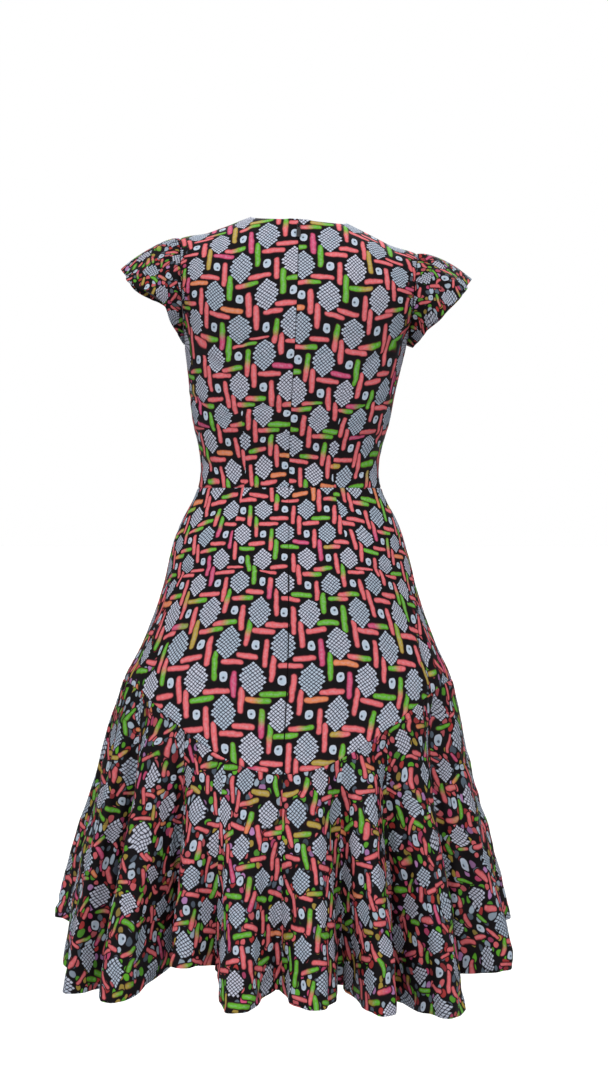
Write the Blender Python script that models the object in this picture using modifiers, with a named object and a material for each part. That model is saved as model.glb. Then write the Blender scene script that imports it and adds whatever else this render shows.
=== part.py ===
"""Knee-length dress in printed cotton, filled out as it is worn, in metres with +Z up.

The front of the dress faces -Y, the back +Y, and the wearer's left is +X. The origin is
between the two side neck points, where the shoulders carry the dress.

Every cloth piece is an open grid on the dress's outer face, given a wall by Solidify:
two back bodices and a front, two flutter sleeves, two back skirts and a front, and a
flounce in two backs and a front. A concealed zip closes the centre back. Its tapes lie
inside the back pieces, its slider is up, and its pull tab hangs outside on the slider.

Angles go round the dress in degrees: 0 is the left side seam, 90 the centre back,
180 the right side seam and 270 the centre front.
"""

from collections import namedtuple
from math import cos, pi, radians, sin

import bmesh
import bpy
import numpy as np
from mathutils import Matrix, Vector

# ---------------------------------------------------------------- driving sizes

CLOTH = 0.0012  # wall of every cloth piece
SEAM_GAP = 0.0003  # clear space between two sewn edges
SHOULDER_GAP = 0.0004  # the same along a shoulder, where the walls lean together
SLEEVE_GAP = 0.0005  # and round an armhole, where the sleeve turns away

NECK_HALF = 0.066  # side neck point from the centre
NAPE_DROP = 0.012  # back neck below the side neck points
FRONT_NECK_DROP = 0.085  # front neck below them
NAPE_BEHIND = 0.060  # back neck behind the side neck points' plane
NECK_BEHIND = 0.010  # side neck points
FRONT_NECK_BEFORE = 0.078  # front neck before that plane

TIP_HALF = 0.165  # shoulder tip from the centre
TIP_DROP = 0.042  # shoulder tip below the side neck points
TIP_BEFORE = 0.003
SHOULDER_TILT = 0.067  # rise of the shoulders per metre towards the left
ROUND_SHOULDER = 3.5  # higher is a flatter yoke with a tighter turn at the seam
NECK_HOLLOW = 2.2  # the same below the neckline, where the yoke has no such turn

UNDERARM_Z = -0.186
WAIST_Z = -0.379  # waist seam
SQUARENESS = 0.035  # how far a level section fills out between its sides and middle

BUST_Z = -0.238
BUST_OUT = 0.078  # bust point from the centre front
BUST_FULLNESS = 0.011
BUST_SPREAD = 0.048

SEAM_SIDE_Z = -0.645  # flounce seam at the sides
SEAM_BACK_Z = -0.755  # its lowest point at the centre back
SEAM_FRONT_Z = -0.700  # and at the centre front
SEAM_SWEEP = 4  # how far the seam stays up before it dips
FOLD_GROWTH = 1.15
RIDGE_BREADTH = 1.5  # over 1, ridges are broad and valleys narrow

QUARTER_COLUMNS = 12  # grid columns from the centre to a side in bodice and skirt
NECK_COLUMNS = 4  # how many of them end on the neckline
FLOUNCE_FINER = 3  # flounce columns to each of theirs

# ---------------------------------------------------------------------- tables

# Level sections of bodice, skirt and flounce, without the folds.
Level = namedtuple("Level", "z side back front")
LEVELS = (
    Level(-1.060, 0.312, 0.226, 0.224),
    Level(-0.980, 0.301, 0.217, 0.213),
    Level(-0.920, 0.290, 0.208, 0.202),
    Level(-0.860, 0.277, 0.198, 0.189),
    Level(-0.800, 0.262, 0.187, 0.175),
    Level(-0.740, 0.251, 0.176, 0.162),
    Level(-0.690, 0.241, 0.166, 0.150),
    Level(-0.640, 0.227, 0.157, 0.138),
    Level(-0.600, 0.207, 0.149, 0.128),
    Level(-0.557, 0.190, 0.142, 0.120),
    Level(-0.515, 0.1765, 0.135, 0.115),
    Level(-0.466, 0.1645, 0.121, 0.111),
    Level(-0.424, 0.1500, 0.104, 0.106),
    Level(-0.396, 0.1350, 0.093, 0.102),
    Level(-0.379, 0.1280, 0.088, 0.100),
    Level(-0.354, 0.1246, 0.086, 0.099),
    Level(-0.319, 0.1290, 0.091, 0.104),
    Level(-0.291, 0.1365, 0.097, 0.112),
    Level(-0.256, 0.1420, 0.103, 0.121),
    Level(-0.228, 0.1465, 0.106, 0.125),
    Level(-0.186, 0.1540, 0.108, 0.124),
)

# Sideways shift of the dress's middle, towards the left, as the wearer stands.
Lean = namedtuple("Lean", "z shift")
LEANS = (
    Lean(-1.060, 0.0220),
    Lean(-0.740, 0.0200),
    Lean(-0.600, 0.0140),
    Lean(-0.466, 0.0135),
    Lean(-0.354, 0.0130),
    Lean(-0.256, 0.0095),
    Lean(-0.186, 0.0050),
    Lean(-0.080, 0.0010),
    Lean(0.010, 0.0),
)

# Upper bodice, from the underarm (rise 0) to the neck and shoulder edge (rise 1):
# depth at the centre, and how far round the section the armhole's edge is, in degrees.
Yoke = namedtuple("Yoke", "rise depth reach")
BACK_YOKE = (
    Yoke(0.00, 0.108, 90.0),
    Yoke(0.20, 0.109, 76.0),
    Yoke(0.45, 0.108, 65.0),
    Yoke(0.70, 0.104, 61.0),
    Yoke(1.00, 0.100, 60.0),
)
FRONT_YOKE = (
    Yoke(0.00, 0.124, 90.0),
    Yoke(0.20, 0.119, 72.0),
    Yoke(0.45, 0.110, 60.0),
    Yoke(0.70, 0.099, 57.0),
    Yoke(1.00, 0.088, 57.0),
)

# Hem of each sleeve over one half, from the shoulder (run 0) to the underarm (run 1).
SleeveHem = namedtuple("SleeveHem", "run out behind z")
LEFT_SLEEVE_HEM = (
    SleeveHem(0.00, 0.2460, 0.000, -0.077),
    SleeveHem(0.15, 0.2425, 0.026, -0.084),
    SleeveHem(0.30, 0.2320, 0.046, -0.099),
    SleeveHem(0.50, 0.2120, 0.060, -0.115),
    SleeveHem(0.65, 0.1930, 0.059, -0.128),
    SleeveHem(0.82, 0.1790, 0.041, -0.156),
    SleeveHem(1.00, 0.1640, 0.010, -0.181),
)
RIGHT_SLEEVE_HEM = (
    SleeveHem(0.00, 0.2390, 0.000, -0.090),
    SleeveHem(0.15, 0.2360, 0.026, -0.097),
    SleeveHem(0.30, 0.2260, 0.046, -0.112),
    SleeveHem(0.50, 0.2060, 0.060, -0.134),
    SleeveHem(0.65, 0.1870, 0.059, -0.151),
    SleeveHem(0.82, 0.1720, 0.041, -0.168),
    SleeveHem(1.00, 0.1600, 0.010, -0.183),
)
SLEEVE_PUFF = 0.009  # rise of the sleeve head above a straight line to its hem
PUFF_HIGH = 0.7  # under 1, the puff is highest near the armhole
PUFF_BREADTH = 0.5  # under 1, it stays full most of the way to the underarm
SLEEVE_WAVE = 0.004  # flutes along the hem
SLEEVE_WAVES = 3.5  # of them on each half
SLEEVE_CROWDING = 0.8  # under 1, the columns are closer together at the underarm
# the way the puff rises: outward, front or back by the run, upward at the shoulder
PUFF_OUT, PUFF_ASIDE, PUFF_UP, PUFF_LEVEL = 0.7, 0.8, 0.6, 0.1

# The flounce's folds, ridges (push above 0) and valleys in turn. A fold begins at the
# given share of the way from the seam to the hem.
Fold = namedtuple("Fold", "angle push start hem_z")
FOLDS = (
    Fold(0.0, -0.020, 0.00, -1.010),
    Fold(12.5, 0.014, 0.00, -1.038),
    Fold(20.0, -0.006, 0.10, -1.052),
    Fold(27.5, 0.020, 0.00, -1.060),
    Fold(35.0, -0.030, 0.00, -1.050),
    Fold(50.0, 0.022, 0.05, -1.052),
    Fold(57.5, -0.024, 0.05, -1.012),
    Fold(65.0, 0.012, 0.20, -1.010),
    Fold(72.5, -0.008, 0.30, -1.024),
    Fold(80.0, 0.020, 0.20, -1.052),
    Fold(90.0, -0.022, 0.30, -1.030),
    Fold(97.5, 0.022, 0.10, -1.048),
    Fold(107.5, -0.032, 0.00, -1.040),
    Fold(115.0, 0.022, 0.05, -1.062),
    Fold(125.0, -0.030, 0.00, -1.052),
    Fold(132.5, 0.018, 0.00, -1.074),
    Fold(145.0, -0.032, 0.00, -1.046),
    Fold(162.5, 0.018, 0.00, -1.038),
    Fold(180.0, -0.020, 0.00, -1.014),
    Fold(192.5, 0.028, 0.00, -0.994),
    Fold(202.5, -0.022, 0.00, -1.000),
    Fold(212.5, 0.022, 0.05, -1.006),
    Fold(225.0, -0.026, 0.00, -0.998),
    Fold(235.0, 0.023, 0.10, -1.004),
    Fold(247.5, -0.022, 0.10, -0.996),
    Fold(257.5, 0.020, 0.15, -1.002),
    Fold(270.0, -0.024, 0.10, -0.994),
    Fold(280.0, 0.022, 0.10, -1.002),
    Fold(292.5, -0.026, 0.05, -0.996),
    Fold(302.5, 0.023, 0.05, -1.004),
    Fold(315.0, -0.025, 0.00, -0.998),
    Fold(325.0, 0.022, 0.00, -1.004),
    Fold(337.5, -0.024, 0.00, -0.996),
    Fold(350.0, 0.028, 0.00, -0.990),
)

# Grid rows: shares of the way up the lower bodice and the yoke, and down the skirt and
# the flounce. Short rows at the seams keep both edges of a seam parallel.
BODICE_ROWS = (0.0, 0.06, 0.30, 0.55, 0.80)
YOKE_ROWS = (0.0, 0.05, 0.20, 0.40, 0.60, 0.75, 0.86, 0.95, 0.993, 1.0)
SKIRT_ROWS = (0.0, 0.05, 0.17, 0.33, 0.49, 0.70, 0.96, 1.0)
FLOUNCE_ROWS = (0.0, 0.04, 0.24, 0.48, 0.74, 1.0)
SLEEVE_ROWS = (0.0, 0.30, 0.60, 1.0)
SLEEVE_FROM = 1  # the sleeve starts this many yoke rows above the underarm

# Concealed zip.
ZIP_BOTTOM_Z = -0.570
TAPE_WIDTH = 0.011
TAPE_INNER_EDGE = 0.0012  # from the centre back
TAPE_THICKNESS = 0.0007
ZIP_PARTING = 0.0011  # how far each back edge stands off for the slider's bridge
PARTED_ROWS = {0.86: 0.55, 0.95: 1.0, 0.993: 1.0, 1.0: 0.55}  # share of it by yoke row

SLIDER_RISE = 0.945  # yoke height of the pull tab's axis
SLIDER_RUN = 0.1  # yoke height over which the slider takes the cloth's slope
SLIDER_SIZE = Vector((0.0060, 0.0022, 0.0100))
SLIDER_ROUNDING = 0.0006
BRIDGE_BAR = 0.0011  # thickness of the bridge's bar
BRIDGE_SPAN = 0.0056  # between the middles of its legs
AXIS_OUT = 0.0024  # pull tab's axis in front of the cloth
BRIDGE_OUT = 0.0040  # middle of the bridge's outer run in front of the cloth
TAB_BAR = 0.0011
TAB_WIDTH = 0.0048
TAB_SIDE = 0.0011  # width of the strips beside the tab's window
TAB_WINDOW = 0.0052  # from the axis to the window's lower end
TAB_LENGTH = 0.0210
TAB_WIDEST = 0.0062
TAB_THICKNESS = 0.0011
WINDOW_CUT = 0.01  # depth of the window's cutter, right through the tab

# ------------------------------------------------------------------ dress form


def column(rows, name):
    """One column of a table as an array."""
    return np.array([getattr(row, name) for row in rows], float)


def smooth(rows, key, name, at):
    """A table's column at the key's values `at`, on a smooth curve through its rows."""
    keys = column(rows, key)
    values = column(rows, name)
    slopes = np.gradient(values, keys)
    at = np.clip(at, keys[0], keys[-1])
    i = np.clip(np.searchsorted(keys, at) - 1, 0, len(keys) - 2)
    span = keys[i + 1] - keys[i]
    t = (at - keys[i]) / span
    s = 1 - t
    return (
        values[i] * (1 + 2 * t) * s**2
        + slopes[i] * span * t * s**2
        + values[i + 1] * (3 - 2 * t) * t**2
        - slopes[i + 1] * span * s * t**2
    )


def ease(t):
    """0 to 1 with level ends."""
    t = np.clip(t, 0, 1)
    return t * t * (3 - 2 * t)


def lean(z):
    """How far the dress's middle is to the left of the origin at a height."""
    return smooth(LEANS, "z", "shift", z)


def seam_z(angle):
    """Height of the flounce seam, which dips at the centre back and the centre front."""
    across = np.sin(np.radians(angle))
    lowest = np.where(across > 0, SEAM_BACK_Z, SEAM_FRONT_Z)
    return SEAM_SIDE_Z + (lowest - SEAM_SIDE_Z) * across**SEAM_SWEEP


def bust(x, z):
    """How far the bust darts fill out the front at a place."""
    across = (np.abs(x) - BUST_OUT) / BUST_SPREAD
    up = (z - BUST_Z) / BUST_SPREAD
    return BUST_FULLNESS * np.exp(-(across**2) - up**2)


def ring(angle, z):
    """Points of the outer face at angles on level sections."""
    turn = np.radians(angle)
    across, along = np.sin(turn), np.cos(turn)
    fuller = 1 + SQUARENESS * np.sin(2 * turn) ** 2
    depth = np.where(
        across > 0, smooth(LEVELS, "z", "back", z), smooth(LEVELS, "z", "front", z)
    )
    x = smooth(LEVELS, "z", "side", z) * along * fuller
    y = depth * across * fuller
    y = y - np.where(across < 0, bust(x, z) * np.abs(across), 0)
    return np.stack([x + lean(z), y, z + 0 * x], -1)


def yoke(back, share, rise, left):
    """Points of the upper bodice: share 0 is the centre, 1 the armhole's edge."""
    table = BACK_YOKE if back else FRONT_YOKE
    facing = 1 if back else -1
    sideways = 1 if left else -1
    neck_share = NECK_COLUMNS / QUARTER_COLUMNS
    at_neck = np.clip(share / neck_share, 0, 1)
    at_shoulder = np.clip((share - neck_share) / (1 - neck_share), 0, 1)
    fuller = 1 + SQUARENESS * np.sin(pi * share) ** 2 * (1 - rise)

    # the neck and shoulder edge
    round_neck = np.cos(at_neck * pi / 2)
    edge_x = NECK_HALF * np.sin(at_neck * pi / 2) + (TIP_HALF - NECK_HALF) * at_shoulder
    middle_y = NAPE_BEHIND if back else -FRONT_NECK_BEFORE
    edge_y = NECK_BEHIND + (middle_y - NECK_BEHIND) * round_neck
    edge_y = edge_y - (NECK_BEHIND + TIP_BEFORE) * at_shoulder
    drop = NAPE_DROP if back else FRONT_NECK_DROP
    edge_z = -drop * round_neck - TIP_DROP * at_shoulder

    # the section that rises to it
    side = smooth(LEVELS, "z", "side", UNDERARM_Z)
    under_x = side * np.sin(share * pi / 2) * fuller
    x = sideways * (under_x + (edge_x - under_x) * rise)
    reach = np.radians(smooth(table, "rise", "reach", rise))
    y = facing * smooth(table, "rise", "depth", rise) * np.cos(reach * share) * fuller
    hollow = rise**NECK_HOLLOW
    rounded = 1 - np.sqrt(1 - np.clip(rise, 0, 1) ** ROUND_SHOULDER)
    turned = hollow + (rounded - hollow) * ease(at_neck)
    y = y + (edge_y - y) * turned
    z = UNDERARM_Z + (edge_z + SHOULDER_TILT * x - UNDERARM_Z) * rise
    if not back:
        y = y - bust(x, z) * np.cos(share * pi / 2)
    return np.stack([x + lean(z), y, z], -1)


def fold_state(angle, down):
    """Push of the folds at angles, `down` the share of the way from seam to hem."""
    angles = column(FOLDS, "angle")
    push = column(FOLDS, "push")
    start = column(FOLDS, "start")
    angle = np.mod(angle - angles[0], 360) + angles[0]
    before = np.searchsorted(angles, angle, side="right") - 1
    after = (before + 1) % len(FOLDS)
    span = np.mod(angles[after] - angles[before], 360)
    t = np.mod(angle - angles[before], 360) / span
    t = (1 - np.cos(pi * t)) / 2

    def grown(i):
        begun = np.clip((down - start[i]) / (1 - start[i]), 0, 1)
        return push[i] * begun**FOLD_GROWTH

    first, last = grown(before), grown(after)
    from_ridge = t**RIDGE_BREADTH
    from_valley = 1 - (1 - t) ** RIDGE_BREADTH
    t = np.where(push[before] > push[after], from_ridge, from_valley)
    return first + (last - first) * t


def hem_z(angle):
    """Height of the hem, on easy curves between the folds."""
    angles = column(FOLDS, "angle")
    heights = column(FOLDS, "hem_z")
    angle = np.mod(angle - angles[0], 360) + angles[0]
    before = np.searchsorted(angles, angle, side="right") - 1
    after = (before + 1) % len(FOLDS)
    span = np.mod(angles[after] - angles[before], 360)
    t = ease(np.mod(angle - angles[before], 360) / span)
    return heights[before] + (heights[after] - heights[before]) * t


def flounce(angle, down):
    """Points of the flounce's outer face, `down` from 0 at the seam to 1 at the hem."""
    z = seam_z(angle) + (hem_z(angle) - seam_z(angle)) * down
    points = ring(angle, z)
    turn = np.radians(angle)
    side = smooth(LEVELS, "z", "side", z)
    depth = smooth(LEVELS, "z", "back", z)
    outward = np.stack([depth * np.cos(turn), side * np.sin(turn), 0 * z], -1)
    outward /= np.linalg.norm(outward, axis=-1, keepdims=True)
    return points + outward * fold_state(angle, down)[..., None]


# ----------------------------------------------------------------- cloth panels


def unit(vectors):
    """The vectors at length 1."""
    return vectors / np.linalg.norm(vectors, axis=-1, keepdims=True)


def inset(points, low=0.0, high=0.0, first=0.0, last=0.0):
    """Draws in a grid's edges: its lowest and highest rows, first and last columns."""
    moved = points.copy()
    moved[0] += unit(points[1] - points[0]) * low
    moved[-1] += unit(points[-2] - points[-1]) * high
    moved[:, 0] += unit(points[:, 1] - points[:, 0]) * np.reshape(first, (-1, 1))
    moved[:, -1] += unit(points[:, -2] - points[:, -1]) * np.reshape(last, (-1, 1))
    return moved


def bodice_grid(back, left):
    """Rows from the waist up, columns from the centre to the side."""
    share = np.linspace(0, 1, QUARTER_COLUMNS + 1)
    angle = (90 if back else 270) + (-90 if left == back else 90) * share
    low = [
        ring(angle, WAIST_Z + (UNDERARM_Z - WAIST_Z) * row + 0 * angle)
        for row in BODICE_ROWS
    ]
    high = [yoke(back, share, row + 0 * share, left) for row in YOKE_ROWS]
    return np.array(low + high)


def skirt_grid(angles):
    """Rows from the flounce seam up to the waist."""
    top, bottom = WAIST_Z, seam_z(angles)
    return np.array(
        [ring(angles, top + (bottom - top) * row) for row in reversed(SKIRT_ROWS)]
    )


def quarter(first, last):
    """Column angles from one seam to another, evenly spread."""
    return np.linspace(first, last, QUARTER_COLUMNS * round(abs(last - first) / 90) + 1)


def flounce_grid(first, last):
    """Rows from the hem up. The top row lies on the skirt's own straight edges."""
    posts = quarter(first, last)
    angles = np.linspace(first, last, (len(posts) - 1) * FLOUNCE_FINER + 1)
    rows = [flounce(angles, row + 0 * angles) for row in reversed(FLOUNCE_ROWS)]
    edge = ring(posts, seam_z(posts))
    rows[-1] = np.stack([np.interp(angles, posts, edge[:, i]) for i in range(3)], -1)
    return np.array(rows)


def sleeve_grid(front_panel, back_panel, hem, left):
    """Rows from the armhole to the hem, columns from front underarm to back underarm."""
    start = len(BODICE_ROWS) + SLEEVE_FROM
    front_edge = front_panel[start:, -1]
    back_edge = back_panel[start:, -1]
    armhole = np.concatenate([front_edge, back_edge[-2::-1]])
    armhole[len(front_edge) - 1] = (front_edge[-1] + back_edge[-1]) / 2

    # run is -1 at the front underarm, 0 at the shoulder and 1 at the back underarm
    rows_up = np.array(YOKE_ROWS[SLEEVE_FROM:])
    run = 1 - (rows_up - rows_up[0]) / (rows_up[-1] - rows_up[0])
    run = np.concatenate([-run, run[-2::-1]])
    run = np.sign(run) * np.abs(run) ** SLEEVE_CROWDING
    sideways = 1 if left else -1
    far = np.abs(run)
    out = smooth(hem, "run", "out", far) * sideways
    behind = smooth(hem, "run", "behind", far) * np.sign(run)
    z = smooth(hem, "run", "z", far)
    edge = np.stack([out, behind, z], -1)

    fullness = np.sin(pi * (1 - far) / 2) ** PUFF_BREADTH
    upward = PUFF_UP * (1 - far) + PUFF_LEVEL
    outward = np.stack([PUFF_OUT * sideways + 0 * run, PUFF_ASIDE * run, upward], -1)
    outward = unit(outward)
    wave = np.cos(2 * pi * SLEEVE_WAVES * run) * SLEEVE_WAVE * fullness
    rows = []
    for share in SLEEVE_ROWS:
        rise = SLEEVE_PUFF * sin(pi * share**PUFF_HIGH) * fullness + wave * share
        rows.append(armhole + (edge - armhole) * share + outward * rise[:, None])
    return np.array(rows)


def cloth(name, points, colour, flipped=False):
    """A cloth piece: a grid moved to its points, then given its wall by Solidify.

    The columns run anticlockwise seen from above and the rows upwards, so that the
    faces look out. A grid that runs the other way is flipped.
    """
    rows, columns = points.shape[:2]
    mesh = bpy.data.meshes.new(name)
    grid = bmesh.new()
    bmesh.ops.create_grid(
        grid, x_segments=columns - 1, y_segments=rows - 1, size=0.5
    )
    for vertex in grid.verts:
        i = round((vertex.co.x + 0.5) * (columns - 1))
        j = round((vertex.co.y + 0.5) * (rows - 1))
        vertex.co = points[j, i]
    if flipped:
        bmesh.ops.reverse_faces(grid, faces=grid.faces)
    grid.to_mesh(mesh)
    grid.free()
    piece = add(name, mesh, colour)
    wall = piece.modifiers.new("wall", "SOLIDIFY")
    wall.thickness = CLOTH
    wall.offset = -1
    return piece


# ---------------------------------------------------------------- scene helpers

PRINTED_COTTON = ("printed_cotton", (0.16, 0.13, 0.14), 0.75, 0.0)
ZIP_TAPE = ("zip_tape", (0.02, 0.02, 0.022), 0.8, 0.0)
ZIP_METAL = ("zip_metal", (0.045, 0.04, 0.042), 0.4, 0.6)


def finish(settings):
    """The material of one finish, made when it is first asked for."""
    name, colour, roughness, metallic = settings
    material = bpy.data.materials.get(name)
    if material is None:
        material = bpy.data.materials.new(name)
        material.use_nodes = True
        shader = material.node_tree.nodes["Principled BSDF"]
        shader.inputs["Base Color"].default_value = (*colour, 1)
        shader.inputs["Roughness"].default_value = roughness
        shader.inputs["Metallic"].default_value = metallic
    return material


def add(name, data, settings):
    """Puts a new object of this name in the dress's collection."""
    data.materials.append(finish(settings))
    piece = bpy.data.objects.new(name, data)
    bpy.data.collections["dress"].objects.link(piece)
    return piece


# -------------------------------------------------------------------------- zip


def facet_point(panel, row, out, inward):
    """A point `out` from the centre back on a panel's first column, moved inward."""
    start, end = panel[row, 0], panel[row, 1]
    away = unit(end - start)
    on_cloth = start + away * (out / abs(away[0]))
    up = unit(panel[min(row + 1, len(panel) - 1), 0] - panel[max(row - 1, 0), 0])
    normal = unit(np.cross(away, up))
    if normal[1] < 0:
        normal = -normal
    return on_cloth - normal * inward


def tape_grid(bodice, skirt, sideways):
    """Three columns down the inside of a back edge, on the panels' own rows."""
    inward = CLOTH + SEAM_GAP
    edges = (TAPE_INNER_EDGE, TAPE_INNER_EDGE + TAPE_WIDTH / 2)
    edges = (*edges, TAPE_INNER_EDGE + TAPE_WIDTH)
    rows = [
        [facet_point(skirt, row, out, inward) for out in edges]
        for row in range(len(skirt))
        if skirt[row, 0, 2] > ZIP_BOTTOM_Z
    ]
    rows += [
        [facet_point(bodice, row, out, inward) for out in edges]
        for row in range(1, len(bodice))
    ]
    grid = np.array(rows)
    return grid if sideways < 0 else grid[:, ::-1]


def tape(name, points):
    """One side of the zip's tape. Its wall goes inward from the cloth's side."""
    piece = cloth(name, points, ZIP_TAPE)
    piece.modifiers["wall"].thickness = TAPE_THICKNESS
    return piece


def box_mesh(name, size, centre, bevel=0.0):
    """A box with its edges rounded by `bevel`."""
    mesh = bpy.data.meshes.new(name)
    solid = bmesh.new()
    bmesh.ops.create_cube(solid, size=1, matrix=Matrix.Diagonal((*size, 1)))
    if bevel:
        bmesh.ops.bevel(
            solid,
            geom=solid.edges[:],
            offset=bevel,
            segments=2,
            affect="EDGES",
            profile=0.5,
        )
    bmesh.ops.translate(solid, verts=solid.verts[:], vec=centre)
    solid.to_mesh(mesh)
    solid.free()
    return mesh


def slider(place, lean_back):
    """The slider: a body inside the cloth and a bridge that stands out of the seam."""
    depth = CLOTH + SEAM_GAP + TAPE_THICKNESS + SEAM_GAP
    body_centre = Vector((0, -depth - SLIDER_SIZE.y / 2, 0))
    body = add(
        "zip_slider", box_mesh("zip_slider", SLIDER_SIZE, body_centre, SLIDER_ROUNDING), ZIP_METAL
    )
    foot = body_centre.y
    half = BRIDGE_SPAN / 2
    corner = BRIDGE_BAR
    bridge = bpy.data.curves.new("bridge", "CURVE")
    bridge.dimensions = "3D"
    bridge.bevel_depth = BRIDGE_BAR / 2
    bridge.bevel_resolution = 2
    bridge.use_fill_caps = True
    path = [(0, foot, half), (0, BRIDGE_OUT - corner, half)]
    path += [(0, BRIDGE_OUT, half - corner), (0, BRIDGE_OUT, corner - half)]
    path += [(0, BRIDGE_OUT - corner, -half), (0, foot, -half)]
    run = bridge.splines.new("POLY")
    run.points.add(len(path) - 1)
    for point, co in zip(run.points, path):
        point.co = (*co, 1)
    bar = bpy.data.objects.new("bridge", bridge)
    bpy.data.collections["guides"].objects.link(bar)
    bpy.context.view_layer.update()
    graph = bpy.context.evaluated_depsgraph_get()
    solid = bpy.data.meshes.new_from_object(bar.evaluated_get(graph))
    welded = bmesh.new()
    welded.from_mesh(solid)
    bmesh.ops.remove_doubles(welded, verts=welded.verts[:], dist=1e-6)
    welded.to_mesh(solid)
    welded.free()
    bpy.data.objects.remove(bar)
    cutter = bpy.data.objects.new("bridge", solid)
    cutter.hide_render = True
    cutter.display_type = "WIRE"
    bpy.data.collections["guides"].objects.link(cutter)
    joined = body.modifiers.new("bridge", "BOOLEAN")
    joined.operation = "UNION"
    joined.object = cutter
    for part in (body, cutter):
        part.location = place
        part.rotation_euler.x = lean_back
    return body


def tab_outline():
    """Half the pull tab's outline, from its top to its round foot, as (out, down)."""
    top = TAB_BAR / 2
    foot = TAB_WIDEST / 2
    outline = [(TAB_WIDTH / 2, -top), (TAB_WIDTH / 2, TAB_WINDOW)]
    centre = TAB_LENGTH - foot
    turns = [radians(a) for a in range(0, 91, 15)]
    outline += [(foot * cos(t), centre + foot * sin(t)) for t in turns]
    return outline


def flat_curve(name, outline, thickness):
    """A flat outline in the XZ plane, as a filled 2D curve of this thickness."""
    flat = bpy.data.curves.new(name, "CURVE")
    flat.dimensions = "2D"
    flat.fill_mode = "BOTH"
    flat.extrude = thickness / 2
    run = flat.splines.new("POLY")
    run.points.add(len(outline) - 1)
    for point, (across, up) in zip(run.points, outline):
        point.co = (across, up, 0, 1)
    run.use_cyclic_u = True
    return flat


def pull_tab(place, lean_back):
    """The pull tab: its top bar is the hinge, and the bridge passes through its window."""
    half = tab_outline()
    outline = [(x, -down) for x, down in half]
    outline += [(-x, -down) for x, down in reversed(half[:-1])]
    shape = bpy.data.objects.new("tab", flat_curve("tab", outline, TAB_THICKNESS))
    bpy.data.collections["guides"].objects.link(shape)
    bpy.context.view_layer.update()
    graph = bpy.context.evaluated_depsgraph_get()
    mesh = bpy.data.meshes.new_from_object(shape.evaluated_get(graph))
    bpy.data.objects.remove(shape)
    solid = bmesh.new()
    solid.from_mesh(mesh)
    bmesh.ops.remove_doubles(solid, verts=solid.verts[:], dist=1e-6)
    bmesh.ops.rotate(
        solid, verts=solid.verts[:], matrix=Matrix.Rotation(radians(90), 3, "X")
    )
    solid.to_mesh(mesh)
    solid.free()
    tab = add("zip_pull", mesh, ZIP_METAL)

    window_width = TAB_WIDTH - 2 * TAB_SIDE
    window_height = TAB_WINDOW - TAB_BAR / 2
    cutter = bpy.data.objects.new(
        "window",
        box_mesh(
            "window",
            Vector((window_width, WINDOW_CUT, window_height)),
            Vector((0, 0, -TAB_BAR / 2 - window_height / 2)),
        ),
    )
    cutter.hide_render = True
    cutter.display_type = "WIRE"
    bpy.data.collections["guides"].objects.link(cutter)
    cut = tab.modifiers.new("window", "BOOLEAN")
    cut.operation = "DIFFERENCE"
    cut.object = cutter
    for part in (tab, cutter):
        part.location = place
        part.rotation_euler.x = lean_back
    return tab


# ------------------------------------------------------------------------ build


def clear():
    """Empties the scene and makes the two collections."""
    for thing in list(bpy.data.objects):
        bpy.data.objects.remove(thing)
    for name in ("dress", "guides"):
        if name not in bpy.data.collections:
            made = bpy.data.collections.new(name)
            bpy.context.scene.collection.children.link(made)


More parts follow.
